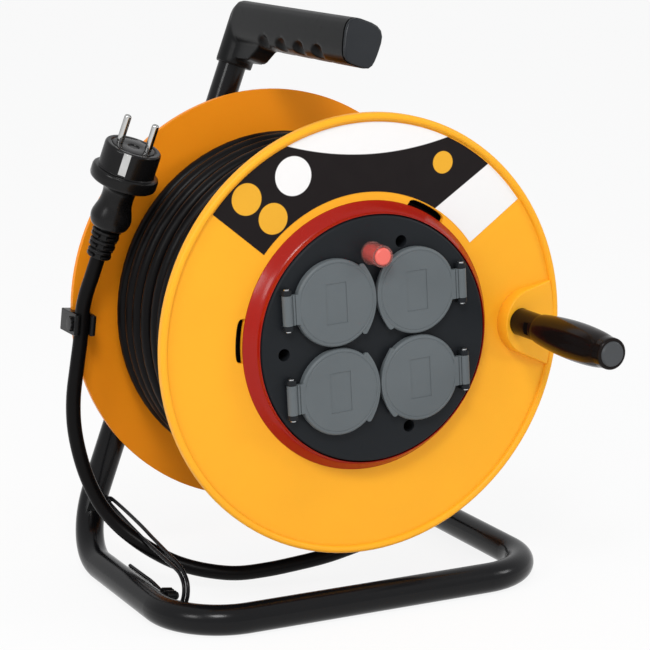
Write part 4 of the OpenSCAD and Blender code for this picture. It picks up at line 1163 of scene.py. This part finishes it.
@dataclass
class Plug:
    """Moulded plug: ribbed strain relief, knob, skirt, face, round pins and earth strips."""

    at: Place = LooseCord.route[-1]
    along: Place = (3.0, -4.0, 13.0)
    roll: float = 21.0
    length: float = 81.0
    face: float = 17.0
    relief: float = 22.0
    ribs: int = 6
    rib_low: float = 0.9
    rib_step: float = 3.55
    rib_wide: float = 2.35
    rib_out: float = 8.3
    rib_growth: float = 0.3
    rib_core: float = 5.2
    notch: tuple[float, float] = (3.0, 14.0)
    slot_half: float = 2.6
    strip_half: float = 2.5
    strip_drop: float = 16.8
    pitch: float = 19.0
    pin_r: float = 2.4
    pin_len: float = 19.0
    pin_root: float = 8.0

    def frame(self) -> Matrix:
        """Gives the matrix that puts the plug on the cord's end."""
        axis = Vector(self.along).normalized()
        tilt, heading = math.acos(axis.z), math.atan2(axis.y, axis.x)
        return (
            Matrix.Translation(Vector(self.at) * MM) @ Matrix.Rotation(heading, 4, "Z")
            @ Matrix.Rotation(tilt, 4, "Y") @ spin("Z", self.roll)
        )

    def boot(self) -> Shape:
        """Makes the strain relief: a taper with ribs that are cut through in turn."""
        taper = [(5.7, 0.1), (6.2, 0.4), (7.7, self.relief - 0.2), (7.7, self.relief)]
        core = Shape.turned("plug_boot", taper, 48)
        ribs = []
        for k in range(self.ribs):
            low, out = self.rib_low + k * self.rib_step, self.rib_out + self.rib_growth * k
            top = low + self.rib_wide
            section = [(self.rib_core, low), (out - 0.5, low), (out, low + 0.5), (out, top - 0.5),
                       (out - 0.5, top), (self.rib_core, top)]
            rib = Shape.turned(f"rib_{k}", section, 48, True)
            x, y = self.notch[::-1] if k % 2 else self.notch
            ribs.append(rib.carve(Shape.block("notch", (-x, -y, low - 1.0), (x, y, top + 1.0))))
        return core.joined(ribs)

    def shell(self) -> Shape:
        """Makes the moulded body above the strain relief."""
        end = self.length
        top = end - self.face
        knots = [
            (8.8, 22.1), (10.4, 22.5), (12.4, 24.2), (13.6, 27.5), (13.7, 31.0), (12.6, 35.0), (11.3, 39.0),
            (10.8, 43.0), (10.8, 47.0), (11.6, 50.0), (14.2, 52.6), (18.2, 54.3),
        ]
        neck = [(p.x, p.y) for p in along_curve([(r, h, 0.0) for r, h in knots], 3)]
        skirt = [
            (20.8, 54.9), (22.0, 55.8), (22.5, 57.2), (22.5, top - 2.0), (22.1, top - 0.8), (21.0, top),
            (19.5, top)]
        face = [
            (19.0, top + 0.5), (19.0, end - 1.8), (18.6, end - 0.6), (17.9, end), (15.6, end),
            (15.2, end - 0.9), (14.4, end - 0.9), (14.1, end), (4.2, end), (3.9, end - 0.8), (1.0, end - 0.8)]
        body = Shape.turned("plug_shell", [*neck, *skirt, *face], 96)
        for turn in (180, 0):
            slot = Shape.block("slot", (-self.slot_half, 17.95, top - 0.2), (self.slot_half, 24.0, end + 2.0))
            body.carve(slot.moved(spin("Z", turn)))
        return body

    def pins(self) -> Shape:
        """Makes the two pins with rounded tips and a collar at the foot."""
        r, foot, top = self.pin_r, self.length, self.length + self.pin_len
        profile = [(2.1, foot - self.pin_root), (2.1, foot + 0.5), (r, foot + 0.65), (r, top - 1.7),
                   (r * 0.95, top - 1.0), (r * 0.8, top - 0.45), (r * 0.55, top - 0.12), (r * 0.25, top)]
        made = [Shape.turned("pin", profile, 32).moved(shift(side * self.pitch / 2)) for side in (-1, 1)]
        return Shape.grouped("plug_pins_round", made)

    def strips(self) -> Shape:
        """Makes the two earth strips, bent over the edge of the face."""
        made = []
        half, top = self.strip_half, self.length
        for turn in (180, 0):
            strip = Shape.block("strip", (-half, 18.0, top - self.strip_drop), (half, 19.0, top - 0.4))
            lip = Shape.block("lip", (-half, 15.5, top - 1.2), (half, 18.4, top - 0.4))
            made.append(strip.carve(lip, Meet.WELD).eased(0.25).moved(spin("Z", turn)))
        return Shape.grouped("plug_earth_lips", made)

    def build(self) -> list[bpy.types.Object]:
        """Makes the plug's pieces.

        Returns:
            The finished pieces, which go with the cord.
        """
        there = self.frame()
        shell = self.shell().eased(0.35).moved(there).smoothed(40)
        boot = self.boot().moved(there).smoothed(40)
        pins, strips = self.pins(), self.strips()
        return [
            shell.dressed(PLUG_RUBBER, "stand", "plug_body"),
            boot.dressed(PLUG_RUBBER, "stand", "plug_relief"),
            pins.moved(there).smoothed(50).dressed(NICKEL, "stand", "plug_pins"),
            strips.moved(there).smoothed(30).dressed(NICKEL, "stand", "plug_earth_strips"),
        ]


# ---------------------------------------------------------------- the carrying grip


@dataclass
class CarryingGrip:
    """The carrying grip: a shield-shaped handle with neck, gusset, finger scallops and end cap.

    Its own frame has +Z along the leg and -Y towards the front.
    """

    at: Place = (0.0, 185.0, 188.5)
    lean: float = 20.235
    half: Profile = (
        (4.0, 14.5), (8.4, 13.7), (11.8, 11.6), (13.5, 8.2), (13.8, 4.0), (13.4, 0.0), (12.8, -4.5),
        (12.0, -8.5), (10.8, -12.0), (8.6, -14.5), (4.8, -15.6),
    )
    neck_r: float = 12.9
    neck_low: float = -31.0
    neck_y: float = -2.0
    gusset: Profile = (
        (-8, -8), (-47, -11), (-47, -14.5), (-44.5, -18.4), (-38.6, -24), (-35, -25.8), (-18, -26.8),
        (-8, -26.8),
    )
    gusset_half: float = 7.0
    fingers: tuple[float, ...] = (-57.8, -84.2, -110.8, -138.0)
    finger_r: float = 10.2
    finger_x: float = 14.6
    finger_z: float = -17.6
    slant: float = 12.0
    front: float = -175.5
    spare: float = 16.0
    cap_gap: float = 0.7
    cap_thick: float = 2.9
    screws: tuple[tuple[float, float], ...] = ((-25.0, -18.0), (-157.0, -9.0))
    well_r: float = 3.3

    def frame(self) -> Matrix:
        """Gives the matrix from the grip's frame to the floor frame."""
        return by_hub(self.at, self.lean)

    def bar(self, name: str, scale: float, rear: float, front: float) -> Shape:
        """Runs the shield section along the grip.

        Args:
            name: The shape's name.
            scale: Size of the section.
            rear: Where it starts, along Y.
            front: Where it ends, along Y.

        Returns:
            The bar.
        """
        outline = [*self.half, *[(-x, z) for x, z in reversed(self.half)]]
        bar = Shape.sheet(name, [(x * scale, z * scale) for x, z in outline], -rear, -front)
        return bar.moved(spin("X", 90))

    def sloped(self, shape: Shape, inset: float, side: int = 1) -> Shape:
        """Cuts a shape off along the slanted front.

        Args:
            shape: The shape.
            inset: How far behind the front the cut lies.
            side: 1 to cut off what lies before it, -1 for what lies behind it.

        Returns:
            The shape.
        """
        a = math.radians(self.slant)
        away = Vector((0.0, -math.cos(a), math.sin(a)))
        return shape.halved(Vector((0.0, self.front, 0.0)) - away * inset, away * side)

    def skin(self) -> None:
        """Makes the handle, the neck and the gusset as one soft skin."""
        skin = self.bar("grip_skin", 1.0, -3.0, self.front - self.spare)
        r, low = self.neck_r, self.neck_low
        dome = [
            (r, low), (r, 2.5), (r - 0.5, 6.5), (r - 2.1, 10.2), (r - 4.8, 13.0), (r - 8.4, 14.3),
            (1.0, 14.5)]
        skin.carve(Shape.turned("neck", dome).moved(shift(0, self.neck_y)), Meet.WELD)
        gusset = Shape.sheet("gusset", self.gusset, -self.gusset_half, self.gusset_half)
        skin.carve(gusset.moved(Matrix(((0, 0, 1, 0), (1, 0, 0, 0), (0, 1, 0, 0), (0, 0, 0, 1)))), Meet.WELD)
        for y in self.fingers:
            for x in (-self.finger_x, self.finger_x):
                Shape.clear_bench()
                bpy.ops.mesh.primitive_uv_sphere_add(
                    segments=32, ring_count=20, radius=self.finger_r * MM,
                    location=(x * MM, y * MM, self.finger_z * MM))
                skin.carve(Shape(bpy.context.object, "finger"))
        self.sloped(skin.melted(1.0, 5), self.cap_gap + self.cap_thick)
        for y, z in self.screws:
            well = Shape.turned("well", [(self.well_r, 5.0), (self.well_r, 16.0)], 32)
            skin.carve(well.moved(sideways(y, z)))
        skin.moved(self.frame()).smoothed(50)
        skin.dressed(GRIP, "stand", "grip_shell_left", "grip_shell_right")

    def cap(self) -> None:
        """Makes the end cap: a bevelled shield behind a fine gap."""
        plate = self.sloped(self.bar("grip_cap", 0.985, self.front + 12, self.front - self.spare), 0.0)
        self.sloped(plate, self.cap_thick, -1).eased(1.3, 4, 50)
        core = self.sloped(self.bar("core", 0.93, self.front + 14, self.front - self.spare), 1.5)
        plate.joined([core]).moved(self.frame()).evened(40)
        plate.dressed(CAP, "stand", "grip_end_cap")

    def fixings(self) -> None:
        """Makes the two screws on the right side."""
        made = []
        head = [(1.4, -6.0), (1.4, 4.9), (2.9, 5.0), (3.0, 5.6), (2.6, 6.6), (1.5, 7.0), (0.5, 7.0)]
        for y, z in self.screws:
            screw = Shape.turned("screw", head, 32)
            for turn in (0, 90):
                groove = Shape.block("groove", (-2.0, -0.35, 6.0), (2.0, 0.35, 8.0))
                screw.carve(groove.moved(spin("Z", turn)))
            made.append(screw.moved(sideways(y, z)))
        screws = Shape.grouped("grip_fixings", made)
        screws.moved(self.frame()).smoothed(30).dressed(STEEL, "stand", "grip_screws")

    def build(self) -> None:
        """Makes the grip, its cap and its screws."""
        self.skin()
        self.cap()
        self.fixings()


# ---------------------------------------------------------------- the socket lids


@dataclass
class Lids:
    """The four spring lids, modelled once and copied."""

    radius: float = 28.3
    face: float = 14.5
    foot: float = 9.4
    wall: float = 2.2
    hinge_out: float = 33.9
    hinge_h: float = 12.6
    hinge_r: float = 3.2
    hinge_len: float = 19.4
    lip_steps: int = 14
    lip_step: float = 3.4
    lip_out: float = 0.3
    lip_flare: float = 2.1
    plaque: tuple[float, float] = (7.4, 13.2)
    sink: float = 0.42
    grooves: tuple[float, float] = (0.2, 2.1)
    groove_wide: float = 0.7
    groove_half: float = 12.0

    def disc(self) -> Shape:
        """Makes the round cover with its bevelled rim, edge groove and hollow back."""
        r, top, inner = self.radius, self.face, self.radius - self.wall
        return Shape.turned("lid", [
            (0.5, top - self.wall), (inner, top - self.wall), (inner, self.foot), (r - 0.3, self.foot),
            (r, self.foot + 0.3), (r, top - 1.3), (r - 0.25, top - 0.8), (r - 0.9, top - 0.12),
            (r - 1.3, top), (r - 1.9, top), (r - 2.1, top - 0.28), (r - 2.7, top - 0.28), (r - 2.9, top - 0.02),
            (r * 0.5, top - 0.02), (0.5, top - 0.02)], 128)

    def arm(self) -> list[Shape]:
        """Makes the arm and the hinge barrel."""
        half, r, top = self.hinge_len / 2, self.radius, self.face
        plate = Shape.block("arm", (r - 3.2, -half, top - self.wall), (self.hinge_out + 0.6, half, top - 0.1))
        web = Shape.block("web", (r - 0.8, -half, self.hinge_h - 1.2), (self.hinge_out, half, top - 1.0))
        barrel = Shape.turned("barrel", [(self.hinge_r, -half), (self.hinge_r, half)], 40)
        barrel.moved(shift(self.hinge_out, 0, self.hinge_h) @ spin("X", 90))
        return [plate, web, barrel]

    def lip(self) -> Shape:
        """Makes the finger lip on the free side, a little wider at its two ends."""

        def at(radius: float, turn: float) -> tuple[float, float]:
            """Gives a corner from its radius and angle."""
            return radius * math.cos(math.radians(turn)), radius * math.sin(math.radians(turn))

        edge, steps = self.radius + self.lip_out, self.lip_steps
        rim = [
            at(edge + self.lip_flare * abs(k / steps) ** 2.2, 180 + k * self.lip_step)
            for k in range(-steps, steps + 1)]
        ends = [at(30.3, 229.0), at(29.3, 230.6), at(24.0, 231.0)]
        far = [(x, -y) for x, y in reversed(ends)]
        return Shape.sheet("lip", [*rim, *ends, *far], self.face - 2.1, self.face - 0.35)

    def model(self) -> Shape:
        """Models one lid about its socket's axis, its hinge on the +X side."""
        lid = self.disc()
        for part in (*self.arm(), self.lip()):
            lid.carve(part, Meet.WELD)
        (x, y), top = self.plaque, self.face + 1.0
        lid.carve(Shape.block("plaque", (-x, -y, self.face - self.sink), (x, y, top)))
        for groove in self.grooves:
            at, half = self.radius + groove, self.groove_half
            far = (at + self.groove_wide, half, top)
            lid.carve(Shape.block("groove", (at, -half, self.face - 0.75), far))
        return lid.eased(0.22, 2, 40)

    def build(self) -> None:
        """Places the four lids."""
        pattern = self.model()
        for number, (side, row) in enumerate(SOCKETS, 1):
            lid = pattern.twin(f"lid_cover_{number}").moved(spin("Z", 180 if side < 0 else 0))
            lid.moved(on_drum((side * SOCKET_PITCH, 0, row * SOCKET_PITCH), PANEL_TURN))
            lid.evened(38).dressed(LID, f"lid_{number}", f"socket_lid_{number}")
        bpy.data.objects.remove(pattern.body)


# ---------------------------------------------------------------- the crank


@dataclass
class Crank:
    """The turning grip of the crank, whose shares give its radius along its length."""

    out: float = 112.0
    foot: float = 31.3
    length: float = 82.0
    bore: float = 4.1
    recess: float = 8.2
    recess_deep: float = 9.0
    shares: tuple[tuple[float, float], ...] = (
        (0.0, 9.9), (0.03, 10.3), (0.16, 11.4), (0.32, 12.3), (0.5, 12.75), (0.66, 12.5), (0.79, 11.8),
        (0.86, 11.1), (0.905, 10.5), (0.93, 10.35), (0.985, 10.3),
    )

    def build(self) -> None:
        """Makes the grip with its bored foot, bulge, collar and recess for the end disc."""
        foot, top = self.foot, self.foot + self.length
        line = along_curve([(r, foot + share * self.length, 0.0) for share, r in self.shares], 4)
        profile = [
            (self.bore, foot), (9.2, foot), (9.7, foot + 0.3), *[(p.x, p.y) for p in line[1:]],
            (10.1, top - 0.5), (9.5, top), (8.35, top), (self.recess, top - 0.3),
            (self.recess, top - self.recess_deep), (self.bore, top - self.recess_deep)]
        grip = Shape.turned("crank_grip_turned", profile, 96, True).moved(on_drum((self.out, 0, 0)))
        grip.smoothed(32).dressed(CRANK, "crank", "crank_grip")


# ---------------------------------------------------------------- the wire guide


@dataclass
class CordGuide:
    """The hairpin of bent wire that holds the cord to the stand, and its two clamps."""

    radius: float = 1.3
    closed: float = 1.35
    spread: float = 1.3
    tube: Place = (-134.0, 0.0, -175.0)
    tube_r: float = 10.0
    turn: float = -8.0
    leg_at: Place = (-119.9, 185.0, -142.0)
    lean: float = 20.235
    clamp_y: tuple[float, float] = (40.0, 53.0)
    screw_in: float = 3.0
    screw_z: float = 7.0
    route: tuple[Place, ...] = (
        (-114.4, 170.0, -139.2), (-114.4, 160, -140.4), (-114.2, 145, -142.4), (-114.1, 130, -144.4),
        (-114.0, 115, -146.4), (-113.9, 100, -148.6), (-113.8, 78, -151.2), (-113.6, 56, -153.8),
        (-113.6, 46, -156.4), (-114.2, 38.6, -161.5), (-115.4, 36.0, -168.5), (-117.4, 36.2, -174.2),
        (-120.0, 37.6, -176.4), (-121.8, 40.4, -176.7), (-121.9, 53, -176.0), (-122.6, 64, -173.0),
        (-123.2, 76, -171.0), (-123.3, 88, -170.8), (-123.3, 108, -170.8), (-123.3, 114, -170.8),
    )

    def wire(self) -> None:
        """Bends the hairpin: one strand up to the leg, a tight turn and one strand back."""
        middle = along_curve(self.route, 5)
        ahead = Studio().axes()[2]
        sides: list[list[Vector]] = [[], []]
        for k, point in enumerate(middle):
            run = middle[min(k + 1, len(middle) - 1)] - middle[max(k - 1, 0)]
            across = run.cross(ahead).normalized()
            apart = self.closed + self.spread * math.sin(math.pi * min(1.0, 2.3 * (k + 2) / len(middle)))
            for side, row in zip((-1, 1), sides):
                row.append(HUB + point + across * apart * side)
        first = (middle[0] - middle[1]).normalized()
        top = HUB + middle[0]
        arm = sides[0][0] - top
        bend = [top + arm * math.cos(a) + first * arm.length * math.sin(a)
                for a in map(math.radians, range(20, 180, 20))]
        wire = as_mesh(strand("guide_wire_bent", [*reversed(sides[0]), *bend, *sides[1]], self.radius, 12))
        wire.smoothed(60).dressed(WIRE_COAT, "stand", "guide_wire")

    def screw_places(self) -> list[Matrix]:
        """Gives the places of the two clamp screws, by the side tube's middle."""
        low, high = self.clamp_y
        return [sideways(y, self.screw_z) for y in (low + self.screw_in, high - self.screw_in)]

    def side_clamp(self) -> Shape:
        """Makes the two-screw clamp on the side tube."""
        (low, high), r = self.clamp_y, self.tube_r
        clamp = Shape.block("guide_saddles", (r - 3, low, -4.4), (r + 4.6, high, 4.4))
        for place in self.screw_places():
            lug = Shape.turned("lug", [(3.4, r - 3), (3.4, r + 3.4), (2.9, r + 3.9)], 32)
            clamp.carve(lug.moved(place), Meet.WELD)
        bore = Shape.turned("bore", [(r + 0.05, -10.0), (r + 0.05, 80.0)], 64)
        clamp.carve(bore.moved(spin("X", -90))).eased(0.9, 3, 40)
        return clamp.moved(by_hub(self.tube, -self.turn))

    def leg_clamp(self) -> Shape:
        """Makes the saddle on the leg with its ten-sided knob."""
        clamp = Shape.block("saddle", (-9.4, -13.0, -6.2), (6.6, -1.0, 6.2))
        knob = Shape.turned("knob", [(3.6, 8.0), (4.0, 11.0), (3.7, 13.6), (2.9, 14.4)], 10)
        clamp.carve(knob.moved(spin("Z", -24) @ spin("X", 90)), Meet.WELD)
        core = Shape.turned("core", [(self.tube_r - 0.1, -20.0), (self.tube_r - 0.1, 20.0)], 64)
        clamp.carve(core).eased(1.6, 3, 40)
        return clamp.moved(by_hub(self.leg_at, self.lean))

    def screws(self) -> Shape:
        """Makes the clamp screws with their slots."""
        made = []
        top = self.tube_r + 5.4
        head = [(1.3, 8.4), (1.3, top - 1.5), (2.4, top - 1.4), (2.4, top - 0.5), (1.6, top), (0.5, top)]
        for place in self.screw_places():
            screw = Shape.turned("screw", head, 24)
            screw.carve(Shape.block("groove", (-3.0, -0.3, top - 0.6), (3.0, 0.3, top + 1.0)))
            made.append(screw.moved(place))
        return Shape.grouped("guide_fixings", made).moved(by_hub(self.tube, -self.turn))

    def build(self) -> None:
        """Makes the guide."""
        self.wire()
        clamps = self.side_clamp().joined([self.leg_clamp()])
        clamps.evened(35).dressed(CLAMP, "stand", "guide_clamps")
        self.screws().smoothed(30).dressed(BLACKENED, "stand", "guide_screws")


# ---------------------------------------------------------------- flange, ring and clip


@dataclass
class FrontFlange:
    """The front flange: its crank ramp and rounded slots, worked into a copy of the solid."""

    web: float = -3.0
    slot_in: float = 88.7
    slot_out: float = 93.3
    slot_half: float = 9.4
    slot_steps: int = 16
    slot_turns: tuple[float, ...] = (61.2, 176.6)
    apex: tuple[float, float] = (98.0, 6.8)
    rim: tuple[float, float] = (140.0, -0.4)
    bead: tuple[float, float] = (142.5, -2.5)
    bead_r: float = 2.55
    ramp_r: float = 23.0
    ramp_at: tuple[float, float] = (121.0, -1.0)
    ramp_shrink: float = 0.93
    crank: float = 112.0
    sleeve_r: float = 9.0

    def cleared(self) -> Shape:
        """Takes the plain pad and the plain slots off the copy."""
        flange = Shape.copied("flange_front", "front_flange")
        web, (x, y) = self.web, self.bead
        turns = [math.radians(a) for a in (0, 22.5, 45, 67.5, 90)]
        crest = [(x - self.bead_r * math.cos(a), y + self.bead_r * math.sin(a)) for a in turns]
        plane = [(89.0, web + 0.02), (139.9, web + 0.02), *crest, (146.0, 0.05), (146.0, 5.0), (89.0, 5.0)]
        flange.carve(Shape.turned("plane", plane, 256, True).moved(on_drum()))
        fill = [(87.6, web - 2.995), (95.0, web - 2.995), (95.0, web + 0.01), (87.6, web + 0.01)]
        return flange.carve(Shape.turned("fill", fill, 256, True).moved(on_drum()), Meet.WELD)

    def slotted(self, flange: Shape) -> Shape:
        """Cuts the slots with rounded outer corners."""
        for turn in self.slot_turns:
            outer, inner = [], []
            for k in range(2 * self.slot_steps + 1):
                t = -1 + k / self.slot_steps
                a = math.radians(turn + t * self.slot_half)
                r = self.slot_in + (self.slot_out - self.slot_in) * (1 - abs(t) ** 7) ** 0.4
                outer.append((r * math.cos(a), r * math.sin(a)))
                inner.append((self.slot_in * math.cos(a), self.slot_in * math.sin(a)))
            outline = [*outer[1:-1], *reversed(inner)]
            flange.carve(Shape.sheet("slot", outline, self.web - 5, self.web + 4).moved(on_drum()))
        return flange

    def ramp(self) -> Shape:
        """Makes the ramp that carries the crank: high at its round end, level with the rim."""
        r, (x, y) = self.ramp_r, self.ramp_at
        arc = [(x + r * math.cos(a), y + r * math.sin(a)) for a in map(math.radians, range(104, 252, 7))]
        outline = [(137.6, 25.6), *arc, (136.2, -32.8), (140.2, -16.0), (141.4, 0.0), (140.0, 15.0)]
        ramp = Shape.sheet("ramp", outline, self.web - 0.2, self.apex[1] + 3)
        ramp.pick(lambda normal: normal.z > 0.9)
        shrink = (self.ramp_shrink, self.ramp_shrink, 1)
        bpy.ops.transform.resize(value=shrink, center_override=(0.141, -0.003, 0))
        slope = (self.apex[1] - self.rim[1]) / (self.rim[0] - self.apex[0])
        ramp.halved((self.apex[0], 0, self.apex[1]), (slope, 0, 1))
        ramp.eased(0.9, 3, 40)
        well = Shape.turned("well", [(self.sleeve_r + 0.1, -0.95), (self.sleeve_r + 0.1, 20.0)], 64)
        return ramp.carve(well.moved(shift(self.crank)))

    def build(self) -> None:
        """Makes the flange."""
        flange = self.slotted(self.cleared().carve(self.ramp().moved(on_drum()), Meet.WELD))
        flange.smoothed(28).dressed(ORANGE, "drum", "front_flange")


@dataclass
class RingTrim:
    """The red ring's outer skin round the socket panel."""

    profile: Profile = (
        (86.0, -2.96), (88.7, -2.96), (88.6, -2.5), (87.4, -1.0), (85.3, 1.8), (83.5, 4.4), (82.9, 5.0),
        (82.3, 5.4), (82.1, 6.2), (82.0, 7.9), (81.8, 8.2), (81.45, 8.2), (81.45, 4.5), (82.9, 4.2),
    )

    def build(self) -> None:
        """Makes the ring."""
        ring = Shape.turned("ring_skin", self.profile, 256, True).moved(on_drum())
        ring.smoothed(24).dressed(RED, "drum")


@dataclass
class CordClip:
    """The clip on the rear flange that the cord is pressed into."""

    at: Place = (-144.05, 140.0, -4.5)
    lean: float = 6.0
    cord: float = 5.35
    jaws: tuple[float, float] = (1.3, 2.0)
    beads: tuple[float, float] = (-0.1, 0.5)
    knob_r: float = 5.2
    flutes: int = 10
    flute_r: float = 0.95
    rim_r: float = 145.1
    rim: tuple[float, float] = (-160.2, -153.8)

    def knob(self) -> Shape:
        """Makes the knurled knob on the left jaw."""
        r = self.knob_r
        knob = Shape.turned("knob", [(r - 0.6, 0.0), (r, 0.4), (r, 1.7), (r - 0.6, 2.3), (1.0, 2.5)], 48)
        out = r + 0.2
        for k in range(self.flutes):
            flute = Shape.turned("flute", [(self.flute_r, -1.0), (self.flute_r, 6.0)], 16)
            a = 2 * math.pi * k / self.flutes
            knob.carve(flute.moved(shift(out * math.cos(a), out * math.sin(a))))
        return knob.moved(shift(-self.cord - 1.2, 1.2) @ spin("Y", -90))

    def build(self) -> None:
        """Makes the two jaws, the knob and the hook behind the rim."""
        c = self.cord
        clip = Shape.block("clip_cord", (-c - self.jaws[0], -5.0, -7.4), (c + self.jaws[1], 22.0, 7.4))
        clip.carve(Shape.block("channel", (-c, -8.0, -10), (c, 5.4, 10)))
        clip.eased(1.1, 3, 50)
        for side, reach in zip((-1, 1), self.beads):
            bead = Shape.turned("bead", [(1.6, -6.9), (2.1, -6.4), (2.1, 6.4), (1.6, 6.9)], 24)
            clip.carve(bead.moved(shift(side * (c + reach), -5.6)), Meet.WELD)
        clip.carve(self.knob(), Meet.WELD).moved(by_hub(self.at, self.lean))
        rim = Shape.turned("rim", [(self.rim_r, height) for height in self.rim], 256).moved(on_drum())
        clip.carve(rim).evened(35).dressed(CLAMP, "drum", "cord_clip")


# ---------------------------------------------------------------- the whole reel


def dress_solids() -> None:
    """Gives every solid the finish of its material slot; the rear flange gets a darker, redder copy of the
    orange as painted shade.
    """
    slots = {row["node"]: row["material_slot"] for row in frame["record"]["subparts"]}
    for name, node in frame["nodes"].items():
        # The rear flange takes the orange with painted shade in it.
        finish = ORANGE_PAINTED_SHADE if name == "rear_flange" else BY_SLOT[slots[name]]
        finish.coat(node)
    LOG.info("finished %d solids", len(slots))


def main() -> None:
    """Builds the studio, the cord and every sub-assembly in order."""
    logging.basicConfig(level=logging.INFO)
    Studio().set_up()
    LooseCord().lay(Plug().build())
    dress_solids()
    for group in (
        Winding(), CarryingGrip(), Lids(), Crank(), CordGuide(), FrontFlange(), RingTrim(), CordClip(),
    ):
        group.build()


if __name__ == "__main__":
    main()
